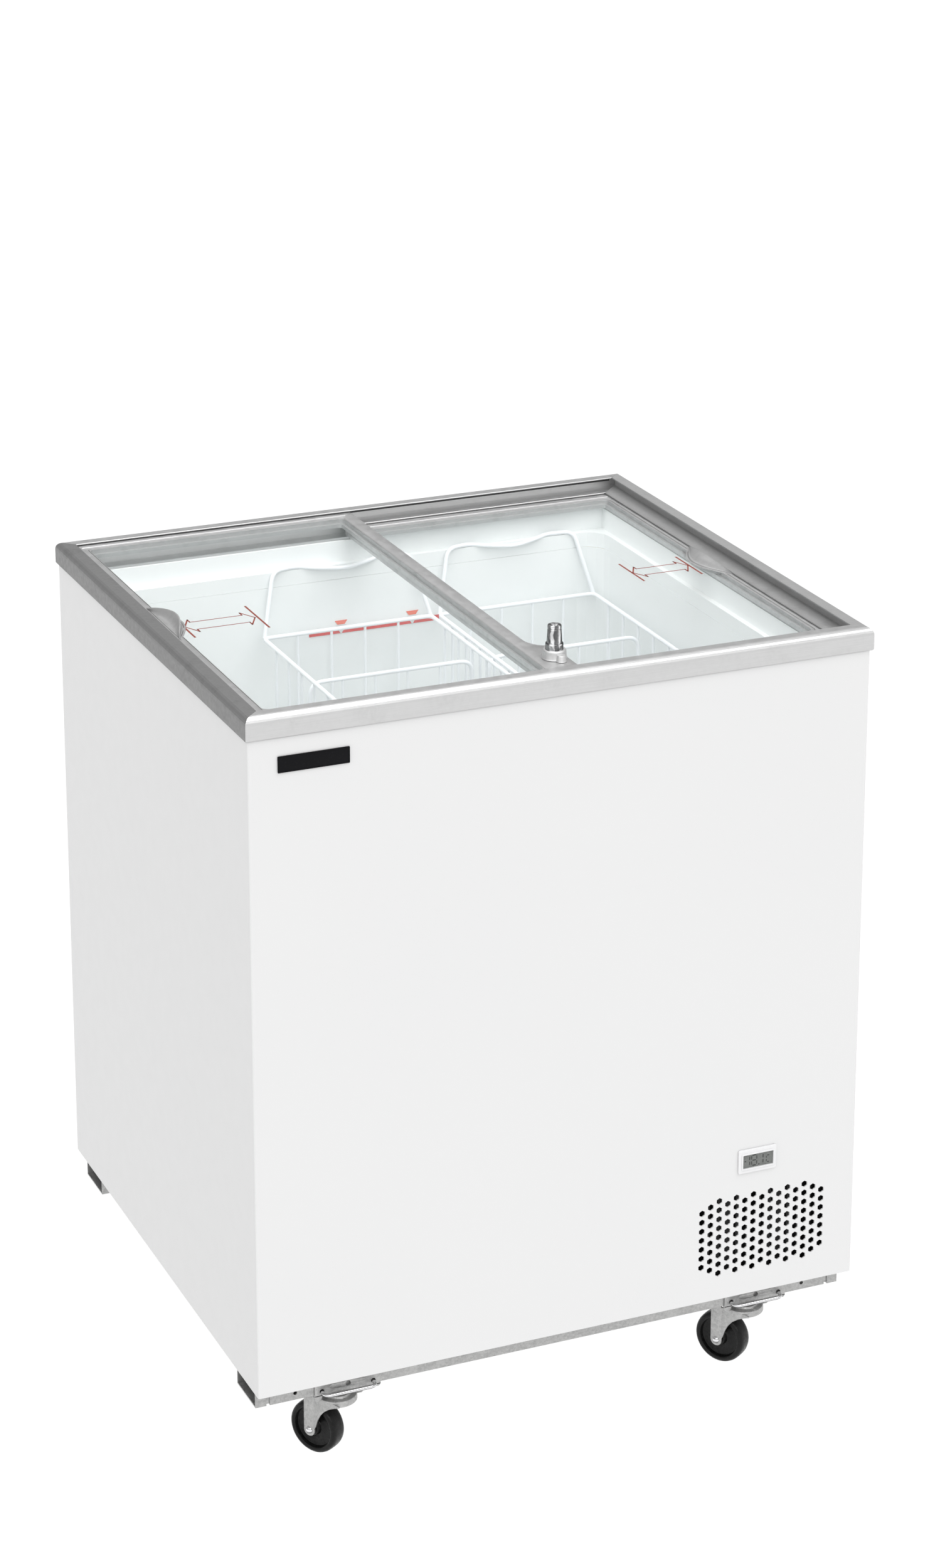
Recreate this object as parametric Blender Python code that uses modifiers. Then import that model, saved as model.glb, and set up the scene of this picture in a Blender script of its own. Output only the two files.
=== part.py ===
"""Chest display freezer for wrapped ice cream: two flat sliding glass lids, wire baskets, castors.

Frame: origin on the floor under the middle of the cabinet, +Z up, front towards -Y, +X to the
right of someone who stands in front. Everything is in metres.
"""

from math import cos, pi, radians, sin

import bmesh
import bpy
from mathutils import Matrix, Vector

# Overall size
WIDTH = 0.720  # over the aluminium rim
DEPTH = 0.640
RIM_TOP = 0.879
RIM_HEIGHT = 0.026
CLEARANCE_UNDER = 0.108  # floor to the bottom of the cabinet
GAP = 0.0003  # between pieces that touch

# Cabinet shell
OVERHANG = 0.003  # rim beyond the casing
SHEET = 0.0015
CASING_X = WIDTH / 2 - OVERHANG
CASING_Y = DEPTH / 2 - OVERHANG
RIM_BASE = RIM_TOP - RIM_HEIGHT
CASING_TOP = RIM_BASE - GAP

# Rim profile, measured inwards from its outer face and up from its base
RIM_ROUND = 0.008
LIP_1 = 0.019  # inner edge of the flat top, over the upper track
LIP_2 = 0.0355  # inner edge of the shelf that carries the upper lid
RIM_INNER = 0.0455
LIP_SHEET = 0.0014
UNDERCUT = 0.007
UPPER_SHELF = 0.0135
LOWER_SHELF = 0.0025

# Tub
TUB_X, TUB_Y = 0.307, 0.262  # inner faces of the liner
TUB_FLOOR = 0.168
TUB_TOP = 0.809  # seam between liner and collar
LINER_SHEET = 0.0015
CORNER = 0.030
LEDGE = 0.827  # the collar's ledge, on which the baskets hang
COLLAR_X, COLLAR_Y = 0.3145, 0.2715
COLLAR_WALL = 0.0025
STEP_X, STEP_TOP = 0.100, 0.400  # hump over the compressor space
COIL_SPACE = 0.010  # between liner and foam, for the evaporator tube

# Compressor space
SPACE_X0, SPACE_X1 = 0.150, CASING_X - SHEET
SPACE_Z0, SPACE_Z1 = CLEARANCE_UNDER + SHEET + 2 * GAP, 0.352

# Lids: low and high corners of the frames, and the glass opening inside them
LEFT_Z0, LEFT_Z1 = RIM_BASE + UPPER_SHELF + GAP, RIM_BASE + 0.0236
RIGHT_Z0, RIGHT_Z1 = RIM_BASE + LOWER_SHELF + GAP, RIM_BASE + 0.0116
LEFT_X0, LEFT_X1, LEFT_Y = -0.3445, -0.0015, 0.3055
RIGHT_X0, RIGHT_X1, RIGHT_Y = -0.0195, 0.3300, 0.2865
LEFT_OPEN = (-0.3310, -0.0180, -0.2945, 0.2820)
RIGHT_OPEN = (-0.0025, 0.3160, -0.2640, 0.2640)
LID_LEDGE = 0.004  # rebate under the glass
LEDGE_HEIGHT = 0.0043
GLASS_DROP = 0.0008  # glass below the top of its frame
HANDLE_HALF, HANDLE_BULGE, HANDLE_WALL = 0.054, 0.0155, 0.0022
LEFT_FIN, RIGHT_FIN = 0.0120, 0.0010  # height of the curved wall that a hand pushes

# Lock, on the front end of the left lid's right rail
LOCK_X, LOCK_Y = 0.0063, -0.2650
LOCK_PLATE_X, LOCK_PLATE_Y, LOCK_FILLET = 0.0198, -0.2270, 0.028
LOCK_TRAVEL = 0.008
BOSS_R, BOSS_TOP = 0.0132, 0.8866
COLLAR_R, COLLAR_TOP = 0.0100, 0.8935
PLUNGER_R, PLUNGER_TOP = 0.0076, 0.9135
BOLT_R = 0.0044
ROTOR_R = 0.0040

# Front panel
VENT_COLUMNS = 15
VENT_PITCH_X, VENT_PITCH_Z = 0.01062, 0.0111
VENT_X0, VENT_Z = 0.1674, 0.1850
VENT_HOLE_R = 0.0040
THERMO = (0.2104, 0.2572, 0.2586, 0.2869)  # x0, x1, z0, z1 of the thermometer's bezel
PLATE = (-0.3250, -0.2464, 0.8150, 0.8330)  # nameplate

# Base channels and castors
CHANNEL_X = 0.3525
CHANNEL_Y0, CHANNEL_Y1 = 0.2942, 0.2370
CHANNEL_Z = 0.0840
BRACKET_X, BRACKET_HALF = 0.2470, 0.0383
BRACKET_FLANGE_Z = 0.0822
PIN_R, PIN_HALF, PIN_Z = 0.0021, 0.0298, 0.0880
PIN_OUT, PIN_IN = 0.0100, 0.0330
SWIVEL_SHIFT, SWIVEL_Y = -0.0098, 0.2870
TRAIL = 0.026
WHEEL_R, WHEEL_HALF = 0.0305, 0.0110
AXLE_R, AXLE_HEAD_R = 0.0040, 0.0062
DISH_R, DISH_Z0, DISH_Z1 = 0.0210, 0.0752, 0.0780
RACE_R, RACE_TOP = 0.0165, 0.0819
LEG_SHEET, LEG_GAP = 0.0022, 0.0022
# name, bracket centre x, side of y, direction from the swivel to the wheel in degrees
CASTORS = (
    ("front_left", -BRACKET_X, -1, 122.5),
    ("front_right", BRACKET_X, -1, 123.5),
    ("rear_left", -BRACKET_X, 1, 250.0),
    ("rear_right", BRACKET_X, 1, 281.0),
)

# Baskets
BASKETS = (("left", -0.1325, 0.0795), ("right", 0.0895, 0.2930))
BASKET_Y = 0.2470
BASKET_RIM, BASKET_FLOOR = 0.7530, 0.5450
RAIL_R, WIRE_R = 0.0024, 0.0015
HANG_INSET = 0.020
HANG_Y, HANG_EDGE_Y = 0.2668, 0.2588  # on the ledge, and just inside its edge
DIVIDER_Y, DIVIDER_TOP = 0.1110, 0.7420

# Compressor space contents
FAN_X, FAN_Z = 0.2520, 0.1850
KNOB_X, KNOB_Z = 0.1900, 0.3150
GLAND_X, GLAND_Z = 0.3250, 0.1400
TRAY_Y0, TRAY_Y1 = 0.3030, CASING_Y - SHEET - 3 * GAP

COLOURS = {  # name: colour, metallic, roughness
    "white_enamel": ((0.86, 0.86, 0.86), 0.0, 0.35),
    "white_plastic": ((0.85, 0.88, 0.89), 0.0, 0.40),
    "white_wire": ((0.88, 0.91, 0.92), 0.0, 0.35),
    "satin_aluminium": ((0.60, 0.60, 0.60), 1.0, 0.35),
    "grey_plastic": ((0.46, 0.46, 0.46), 0.0, 0.45),
    "glass": ((0.85, 0.93, 0.91), 0.0, 0.05),
    "chrome": ((0.80, 0.80, 0.80), 1.0, 0.10),
    "galvanised": ((0.62, 0.62, 0.61), 1.0, 0.45),
    "black_plastic": ((0.02, 0.02, 0.02), 0.0, 0.45),
    "black_paint": ((0.03, 0.03, 0.03), 0.0, 0.40),
    "lcd": ((0.25, 0.27, 0.25), 0.0, 0.20),
    "foam": ((0.80, 0.70, 0.45), 0.0, 0.90),
    "copper": ((0.72, 0.38, 0.24), 1.0, 0.35),
}

materials = {}
parts = None
cutters = None


# ---------------------------------------------------------------- tools


def clear_scene():
    for obj in list(bpy.data.objects):
        bpy.data.objects.remove(obj, do_unlink=True)


def new_collection(name):
    collection = bpy.data.collections.new(name)
    bpy.context.scene.collection.children.link(collection)
    return collection


def make_materials():
    for name, (colour, metallic, roughness) in COLOURS.items():
        material = bpy.data.materials.new(name)
        material.use_nodes = True
        shader = material.node_tree.nodes["Principled BSDF"]
        shader.inputs["Base Color"].default_value = (*colour, 1.0)
        shader.inputs["Metallic"].default_value = metallic
        shader.inputs["Roughness"].default_value = roughness
        materials[name] = material


def add_mesh(bm, name, collection):
    mesh = bpy.data.meshes.new(name)
    bm.to_mesh(mesh)
    bm.free()
    obj = bpy.data.objects.new(name, mesh)
    collection.objects.link(obj)
    return obj


def as_node(obj, material):
    """Give a finished object its place among the parts and a material of its own."""
    if obj.name not in parts.objects:
        parts.objects.link(obj)
        cutters.objects.unlink(obj)
    obj.hide_render = False
    obj.display_type = "TEXTURED"
    own = materials[material].copy()
    own.name = obj.name
    obj.data.materials.clear()
    obj.data.materials.append(own)
    return obj


def hide(obj):
    obj.hide_render = True
    obj.display_type = "WIRE"
    return obj


def box(name, low, high, bevel=0.0):
    bm = bmesh.new()
    size = Vector(high) - Vector(low)
    centre = (Vector(high) + Vector(low)) / 2
    bmesh.ops.create_cube(bm, size=1.0, matrix=Matrix.Translation(centre) @ Matrix.Diagonal((*size, 1.0)))
    obj = hide(add_mesh(bm, name, cutters))
    if bevel:
        modifier = obj.modifiers.new("edges", "BEVEL")
        modifier.width = bevel
        modifier.segments = 2
    return obj


def boxes(name, corners):
    """Several boxes in one mesh, for a cutter with many slots."""
    bm = bmesh.new()
    for low, high in corners:
        size = Vector(high) - Vector(low)
        centre = (Vector(high) + Vector(low)) / 2
        bmesh.ops.create_cube(bm, size=1.0, matrix=Matrix.Translation(centre) @ Matrix.Diagonal((*size, 1.0)))
    return hide(add_mesh(bm, name, cutters))


def drum(name, radius, start, end, sides=24, top_radius=None):
    """Cylinder or cone between two points."""
    start, end = Vector(start), Vector(end)
    along = end - start
    turn = Vector((0, 0, 1)).rotation_difference(along).to_matrix().to_4x4()
    bm = bmesh.new()
    bmesh.ops.create_cone(
        bm,
        cap_ends=True,
        segments=sides,
        radius1=radius,
        radius2=radius if top_radius is None else top_radius,
        depth=along.length,
        matrix=Matrix.Translation((start + end) / 2) @ turn,
    )
    return hide(add_mesh(bm, name, cutters))


def turned(name, profile, steps=20):
    """Body of revolution about local Z; the profile (radius, z) runs down its outer side."""
    bm = bmesh.new()
    verts = [bm.verts.new((radius, 0.0, z)) for radius, z in profile]
    closed = profile[0][0] > 0 and profile[-1][0] > 0
    pairs = list(zip(verts, verts[1:]))
    if closed:
        pairs.append((verts[-1], verts[0]))
    for first, second in pairs:
        bm.edges.new((first, second))
    obj = hide(add_mesh(bm, name, cutters))
    screw = obj.modifiers.new("turn", "SCREW")
    screw.steps = screw.render_steps = steps
    screw.use_merge_vertices = True
    screw.merge_threshold = 0.00001
    return obj


def plate(name, outlines, low, high, axis="Z"):
    """Flat outline, with holes if there are more outlines, between two heights along an axis."""
    curve = bpy.data.curves.new(name, "CURVE")
    curve.dimensions = "2D"
    curve.fill_mode = "BOTH"
    curve.extrude = (high - low) / 2
    for outline in outlines:
        spline = curve.splines.new("POLY")
        spline.points.add(len(outline) - 1)
        for point, (u, v) in zip(spline.points, outline):
            point.co = (u, v, 0.0, 1.0)
        spline.use_cyclic_u = True
    obj = bpy.data.objects.new(name, curve)
    cutters.objects.link(obj)
    middle = (low + high) / 2
    if axis == "Z":
        obj.matrix_world = Matrix.Translation((0, 0, middle))
    elif axis == "Y":  # outline in X and Z
        obj.matrix_world = Matrix.Translation((0, middle, 0)) @ Matrix.Rotation(pi / 2, 4, "X")
    else:  # outline in Y and Z
        turn = Matrix(((0, 0, 1, 0), (1, 0, 0, 0), (0, 1, 0, 0), (0, 0, 0, 1)))
        obj.matrix_world = Matrix.Translation((middle, 0, 0)) @ turn
    return to_mesh(obj)


def tube(name, points, radius, cyclic=False, resolution=2):
    curve = bpy.data.curves.new(name, "CURVE")
    curve.dimensions = "3D"
    curve.bevel_depth = radius
    curve.bevel_resolution = resolution
    curve.render_resolution_u = 0
    curve.use_fill_caps = True
    spline = curve.splines.new("POLY")
    spline.points.add(len(points) - 1)
    for point, place in zip(spline.points, points):
        point.co = (*place, 1.0)
    spline.use_cyclic_u = cyclic
    obj = bpy.data.objects.new(name, curve)
    cutters.objects.link(obj)
    return to_mesh(obj)


def to_mesh(obj):
    """Turn a curve, or a mesh with modifiers, into a plain mesh object of the same name."""
    bpy.context.view_layer.update()
    graph = bpy.context.evaluated_depsgraph_get()
    mesh = bpy.data.meshes.new_from_object(obj.evaluated_get(graph))
    bm = bmesh.new()
    bm.from_mesh(mesh)
    bmesh.ops.remove_doubles(bm, verts=bm.verts, dist=0.00001)
    bmesh.ops.recalc_face_normals(bm, faces=bm.faces)
    bm.to_mesh(mesh)
    bm.free()
    name, matrix = obj.name, obj.matrix_world.copy()
    bpy.data.objects.remove(obj, do_unlink=True)
    result = bpy.data.objects.new(name, mesh)
    result.matrix_world = matrix
    cutters.objects.link(result)
    return hide(result)


def boolean(obj, other, operation):
    modifier = obj.modifiers.new(operation.lower(), "BOOLEAN")
    modifier.operation = operation
    modifier.solver = "EXACT"
    modifier.object = other
    return obj


def cut(obj, *others):
    for other in others:
        boolean(obj, hide(other), "DIFFERENCE")
    return obj


def join(obj, *others):
    for other in others:
        boolean(obj, hide(other), "UNION")
    return obj


def smooth(obj, angle=35):
    obj.data.shade_smooth()
    obj.data.set_sharp_from_angle(angle=radians(angle))
    return obj


def rounded_outline(x0, x1, y0, y1, radius, steps=4):
    """Rectangle with round corners, counter-clockwise."""
    corners = ((x1 - radius, y1 - radius, 0), (x0 + radius, y1 - radius, 90),
               (x0 + radius, y0 + radius, 180), (x1 - radius, y0 + radius, 270))
    points = []
    for cx, cy, start in corners:
        for step in range(steps + 1):
            angle = radians(start + 90 * step / steps)
            points.append((cx + radius * cos(angle), cy + radius * sin(angle)))
    return points


def filleted(points, radius, steps=3):
    """Polyline whose inner corners are rounded, for bent wire and tube."""
    route = [Vector(points[0])]
    for before, corner, after in zip(points, points[1:], points[2:]):
        corner = Vector(corner)
        back, ahead = (Vector(before) - corner).normalized(), (Vector(after) - corner).normalized()
        start, end = corner + back * radius, corner + ahead * radius
        for step in range(steps + 1):
            t = step / steps
            route.append((1 - t) ** 2 * start + 2 * t * (1 - t) * corner + t * t * end)
    route.append(Vector(points[-1]))
    return route


# ---------------------------------------------------------------- cabinet


def vent_holes():
    """Hexagonal holes in staggered columns, the outer columns shorter."""
    bm = bmesh.new()
    for column in range(VENT_COLUMNS):
        from_edge = min(column, VENT_COLUMNS - 1 - column)
        count = 7 if from_edge == 0 else 9 - from_edge % 2 if from_edge != 2 else 9
        for row in range(count):
            place = Vector((
                VENT_X0 + column * VENT_PITCH_X,
                -CASING_Y,
                VENT_Z + (row - (count - 1) / 2) * VENT_PITCH_Z,
            ))
            turn = Matrix.Rotation(pi / 2, 4, "X")
            bmesh.ops.create_cone(
                bm, cap_ends=True, segments=6, radius1=VENT_HOLE_R, radius2=VENT_HOLE_R,
                depth=0.012, matrix=Matrix.Translation(place) @ turn,
            )
    return hide(add_mesh(bm, "vent_holes", cutters))


def make_casing():
    outline = rounded_outline(-CASING_X, CASING_X, -CASING_Y, CASING_Y + 0.02, 0.0018, 3)
    casing = plate("outer_casing", [outline], CLEARANCE_UNDER, CASING_TOP)
    inner = CASING_X - SHEET
    cut(
        casing,
        box("casing_inside", (-inner, -CASING_Y + SHEET, 0.05), (inner, 0.5, 1.0)),
        box("casing_rear_end", (-0.5, CASING_Y, 0.05), (0.5, 0.6, 1.0)),
        vent_holes(),
        box("thermometer_cut_out", (THERMO[0] + 0.003, -0.4, THERMO[2] + 0.003),
            (THERMO[1] - 0.003, -0.3, THERMO[3] - 0.003)),
    )
    as_node(casing, "white_enamel")


def make_rear_and_base():
    inner = CASING_X - SHEET - GAP
    back = CASING_Y - SHEET - GAP
    panel = box("rear_panel", (-inner, back, CLEARANCE_UNDER + SHEET + GAP), (inner, CASING_Y - GAP, CASING_TOP))
    cut(panel, box("rear_opening", (SPACE_X0 + 0.012, 0.2, 0.128), (SPACE_X1 - 0.012, 0.4, SPACE_Z1 - 0.016)))
    as_node(panel, "white_enamel")
    base = box("base_pan", (-inner, -CASING_Y + SHEET + GAP, CLEARANCE_UNDER), (inner, CASING_Y - GAP, CLEARANCE_UNDER + SHEET))
    as_node(base, "galvanised")


def tub_block(name, grow, floor, top, corner):
    """The tub's inside, grown by a margin: a block less the hump over the compressor space."""
    outline = rounded_outline(-TUB_X - grow, TUB_X + grow, -TUB_Y - grow, TUB_Y + grow, corner)
    block = plate(name, [outline], floor, top)
    hump = box(name + "_hump", (STEP_X + grow, -0.4, 0.0), (0.5, 0.4, STEP_TOP - grow))
    return cut(block, hump)


def make_tub():
    liner = tub_block("inner_liner", LINER_SHEET, TUB_FLOOR - LINER_SHEET, TUB_TOP - GAP, CORNER + LINER_SHEET)
    cut(liner, tub_block("liner_inside", 0.0, TUB_FLOOR, 0.9, CORNER))
    as_node(liner, "white_plastic")

    flange_x, flange_y = CASING_X - SHEET - 2 * GAP, CASING_Y - SHEET - 3 * GAP
    top = CASING_TOP - GAP
    collar = box("liner_collar", (-flange_x, -flange_y, top - SHEET), (flange_x, flange_y, top))
    upper = box("collar_upper", (-COLLAR_X - COLLAR_WALL, -COLLAR_Y - COLLAR_WALL, LEDGE - COLLAR_WALL),
                (COLLAR_X + COLLAR_WALL, COLLAR_Y + COLLAR_WALL, top - SHEET / 2))
    reach_x, reach_y = TUB_X + COLLAR_WALL, TUB_Y + COLLAR_WALL
    lower_outer = rounded_outline(-reach_x, reach_x, -reach_y, reach_y, CORNER)
    lower_inner = rounded_outline(-TUB_X - 0.0005, TUB_X + 0.0005, -TUB_Y - 0.0005, TUB_Y + 0.0005, CORNER - 0.002)
    lower = plate("collar_lower", [lower_outer], TUB_TOP, LEDGE - COLLAR_WALL / 2)
    join(collar, upper, lower)
    cut(
        collar,
        box("collar_mouth", (-COLLAR_X, -COLLAR_Y, LEDGE), (COLLAR_X, COLLAR_Y, 0.9)),
        plate("collar_throat", [lower_inner], 0.7, 0.9),
    )
    as_node(collar, "white_plastic")


def make_foam():
    x, y = CASING_X - SHEET - GAP, CASING_Y - SHEET - GAP
    foam = box("insulation_foam", (-x, -y, CLEARANCE_UNDER + SHEET + GAP), (x, y - GAP, CASING_TOP - SHEET - 3 * GAP))
    margin = LINER_SHEET + COIL_SPACE
    mouth_x, mouth_y = COLLAR_X + COLLAR_WALL + GAP, COLLAR_Y + COLLAR_WALL + GAP
    cut(
        foam,
        tub_block("foam_cavity", margin, TUB_FLOOR - LINER_SHEET - GAP, 0.9, CORNER),
        box("compressor_space", (SPACE_X0, -0.4, 0.0), (0.4, 0.4, SPACE_Z1)),
        box("foam_mouth", (-mouth_x, -mouth_y, LEDGE - COLLAR_WALL - GAP), (mouth_x, mouth_y, 0.9)),
    )
    as_node(foam, "foam")


def make_evaporator():
    """Tube wound round the liner, above the hump."""
    radius, turns, start, pitch, clear = 0.004, 5, 0.450, 0.066, 0.0010
    reach = LINER_SHEET + clear + radius
    x, y = TUB_X + reach, TUB_Y + reach
    ring = rounded_outline(-x, x, -y, y, CORNER + reach, 4)
    route = []
    for turn in range(turns):
        for place, (u, v) in enumerate(ring):
            route.append((u, v, start + pitch * (turn + place / len(ring))))
    as_node(tube("evaporator_coil", route, radius, resolution=1), "copper")


# ---------------------------------------------------------------- rim


def rim_profile():
    arc = []
    for step in range(6):
        angle = radians(180 - 90 * step / 5)
        arc.append((RIM_ROUND + RIM_ROUND * cos(angle), RIM_HEIGHT - RIM_ROUND + RIM_ROUND * sin(angle)))
    return [(0.0, 0.0015), *arc,
            (LIP_1, RIM_HEIGHT), (LIP_1, RIM_HEIGHT - LIP_SHEET),
            (LIP_1 - UNDERCUT, RIM_HEIGHT - LIP_SHEET), (LIP_1 - UNDERCUT, UPPER_SHELF),
            (LIP_2, UPPER_SHELF), (LIP_2, UPPER_SHELF - LIP_SHEET),
            (LIP_2 - UNDERCUT, UPPER_SHELF - LIP_SHEET), (LIP_2 - UNDERCUT, LOWER_SHELF),
            (RIM_INNER, LOWER_SHELF), (RIM_INNER, 0.0), (0.0015, 0.0)]


def make_rim(name, half_length, distance, quarter_turns):
    """One mitred length of rim: extruded along X in front, then turned to its side."""
    outline = [(-distance + u, z + RIM_BASE) for u, z in rim_profile()]
    rim = plate(name, [outline], -half_length, half_length, "X")
    rim.data.transform(rim.matrix_world)
    rim.matrix_world = Matrix.Identity(4)
    for vertex in rim.data.vertices:
        inwards = vertex.co.y + distance
        reach = half_length - inwards - GAP / 2
        vertex.co.x = reach if vertex.co.x > 0 else -reach
    rim.data.transform(Matrix.Rotation(quarter_turns * pi / 2, 4, "Z"))
    as_node(smooth(rim), "satin_aluminium")


def make_rims():
    make_rim("rim_front", WIDTH / 2, DEPTH / 2, 0)
    make_rim("rim_rear", WIDTH / 2, DEPTH / 2, 2)
    make_rim("rim_right", DEPTH / 2, WIDTH / 2, 1)
    make_rim("rim_left", DEPTH / 2, WIDTH / 2, 3)


# ---------------------------------------------------------------- lids


def lid_outline(x0, x1, y):
    return rounded_outline(x0, x1, -y, y, 0.006, 3)


def left_lid_outline():
    """The left lid's frame widens at its front right corner, into the plate under the lock."""
    plain = lid_outline(LEFT_X0, LEFT_X1, LEFT_Y)
    keep = [point for point in plain if not (point[0] > -0.02 and point[1] < 0)]
    front = [(LOCK_PLATE_X - 0.003, -LEFT_Y), (LOCK_PLATE_X, -LEFT_Y + 0.003)]
    reach, steps = LOCK_PLATE_X - LEFT_X1, 6
    fillet = []
    for step in range(steps + 1):
        angle = pi / 2 * step / steps
        fillet.append((LOCK_PLATE_X - reach * sin(angle), LOCK_PLATE_Y + LOCK_FILLET * (1 - cos(angle))))
    return keep + front + fillet


def handle_arc(chord_x, side, inset=0.0):
    """Points of the handle's arc, from its front end to its rear end, over a chord along the rail."""
    half, bulge = HANDLE_HALF - inset, HANDLE_BULGE - inset
    radius = (half * half + bulge * bulge) / (2 * bulge)
    steps = 14
    points = []
    for step in range(steps + 1):
        v = -half + 2 * half * step / steps
        reach = (radius * radius - v * v) ** 0.5 - (radius - bulge)
        points.append((chord_x + side * reach, v))
    return points


def handle_outline(chord_x, side, grow=0.0):
    """Crescent between the arc and its chord; grown, it also reaches back over the rail."""
    points = handle_arc(chord_x, side, -grow)
    if grow:
        back = chord_x - side * 0.004
        points += [(back, HANDLE_HALF + grow), (back, -HANDLE_HALF - grow)]
    return points


def make_handle(name, chord_x, side, low, floor, rise):
    """Crescent in the glass; a tall one has a sunk floor and a curved wall, highest in the middle."""
    handle = plate(name, [handle_outline(chord_x, side)], low, floor + rise)
    if rise > 0.005:
        end = HANDLE_HALF + 0.002
        hill = [(-end, low - 0.002), (-end, floor + 0.0005)]
        for step in range(13):
            v = -1 + 2 * step / 12
            hill.append((HANDLE_HALF * v, floor + 0.0005 + (rise - 0.0005) * (1 - v * v) ** 0.75))
        hill += [(end, floor + 0.0005), (end, low - 0.002)]
        across = sorted((chord_x - side * 0.005, chord_x + side * 0.03))
        boolean(handle, plate(name + "_hill", [hill], *across, "X"), "INTERSECT")
        back = chord_x - side * 0.004
        hollow = handle_arc(chord_x, side, HANDLE_WALL) + [(back, HANDLE_HALF), (back, -HANDLE_HALF)]
        cut(handle, plate(name + "_hollow", [hollow], floor, floor + rise + 0.01))
    as_node(handle, "grey_plastic")


def make_lid(name, outline, opening, z0, z1, chord_x, side, fin):
    x0, x1, y0, y1 = opening
    inner = rounded_outline(x0 + LID_LEDGE, x1 - LID_LEDGE, y0 + LID_LEDGE, y1 - LID_LEDGE, 0.004, 2)
    frame = plate(name + "_frame", [outline, inner], z0, z1)
    pocket = rounded_outline(x0, x1, y0, y1, 0.007, 3)
    cut(frame, plate(name + "_pocket", [pocket], z0 + LEDGE_HEIGHT, z1 + 0.01))

    low, high = z0 + LEDGE_HEIGHT + GAP, z1 - GLASS_DROP
    pane = rounded_outline(x0 + GAP, x1 - GAP, y0 + GAP, y1 - GAP, 0.0067, 3)
    glass = plate(name + "_glass", [pane], low, high)
    cut(glass, plate(name + "_notch", [handle_outline(chord_x, side, 0.0004)], low - 0.01, high + 0.01))
    as_node(glass, "glass")

    make_handle(name + "_handle", chord_x, side, low, z1, fin)
    return frame


def make_lids():
    frame = make_lid("left_lid", left_lid_outline(), LEFT_OPEN, LEFT_Z0, LEFT_Z1,
                     LEFT_OPEN[0] + GAP, 1, LEFT_FIN)
    cut(frame, drum("bolt_hole", BOLT_R + 0.0008, (LOCK_X, LOCK_Y, 0.8), (LOCK_X, LOCK_Y, 0.9)))
    as_node(frame, "grey_plastic")

    frame = make_lid("right_lid", lid_outline(RIGHT_X0, RIGHT_X1, RIGHT_Y), RIGHT_OPEN, RIGHT_Z0, RIGHT_Z1,
                     RIGHT_OPEN[1] - GAP, -1, RIGHT_FIN)
    as_node(frame, "grey_plastic")


def make_lock():
    base = LEFT_Z1 + GAP
    boss = drum("lock_boss", BOSS_R, (LOCK_X, LOCK_Y, base), (LOCK_X, LOCK_Y, BOSS_TOP), 28, BOSS_R - 0.0006)
    lug = drum("lock_lug", 0.0045, (LOCK_X + 0.001, LOCK_Y - 0.016, base), (LOCK_X + 0.001, LOCK_Y - 0.016, base + 0.007), 16)
    join(boss, lug)
    cut(boss, drum("boss_bore", COLLAR_R + GAP, (LOCK_X, LOCK_Y, 0.8), (LOCK_X, LOCK_Y, 0.95), 28))
    as_node(boss, "grey_plastic")

    seat = base + 0.003
    bore = PLUNGER_R + GAP
    collar = turned("lock_collar", [(bore, COLLAR_TOP), (COLLAR_R - 0.0005, COLLAR_TOP),
                                    (COLLAR_R, COLLAR_TOP - 0.0005), (COLLAR_R, base), (BOLT_R + 0.0006, base),
                                    (BOLT_R + 0.0006, seat), (bore, seat)][::1])
    collar.location = (LOCK_X, LOCK_Y, 0.0)
    as_node(smooth(collar), "chrome")

    shoulder = seat + LOCK_TRAVEL + 0.002
    bolt_end = LEFT_Z0 + 0.0062
    socket = PLUNGER_TOP - 0.0058
    plunger = turned("lock_plunger", [(ROTOR_R + GAP, PLUNGER_TOP), (PLUNGER_R - 0.0010, PLUNGER_TOP),
                                      (PLUNGER_R - 0.0004, PLUNGER_TOP - 0.0008), (PLUNGER_R, shoulder),
                                      (BOLT_R, shoulder), (BOLT_R, bolt_end), (0.0, bolt_end)])
    plunger.location = (LOCK_X, LOCK_Y, 0.0)
    # The profile closes over the socket for the rotor.
    close_profile(plunger, [(ROTOR_R + GAP, PLUNGER_TOP), (ROTOR_R + GAP, socket), (0.0, socket)])
    as_node(smooth(plunger), "chrome")

    rotor = turned("lock_rotor", [(0.0, PLUNGER_TOP + 0.0004), (ROTOR_R - 0.0004, PLUNGER_TOP + 0.0004),
                                  (ROTOR_R, PLUNGER_TOP), (ROTOR_R, socket + GAP), (0.0, socket + GAP)], 24)
    rotor.location = (LOCK_X, LOCK_Y, 0.0)
    cut(rotor, box("key_slot", (LOCK_X - 0.0004, LOCK_Y - 0.0026, PLUNGER_TOP - 0.003),
                   (LOCK_X + 0.0004, LOCK_Y + 0.0026, PLUNGER_TOP + 0.01)))
    as_node(smooth(rotor), "chrome")


def close_profile(obj, extra):
    """Add edges to an open turned profile, from its first point on."""
    bm = bmesh.new()
    bm.from_mesh(obj.data)
    bm.verts.ensure_lookup_table()
    last = bm.verts[0]
    for radius, z in extra[1:]:
        vertex = bm.verts.new((radius, 0.0, z))
        bm.edges.new((vertex, last))
        last = vertex
    bm.to_mesh(obj.data)
    bm.free()


# ---------------------------------------------------------------- front panel


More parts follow.
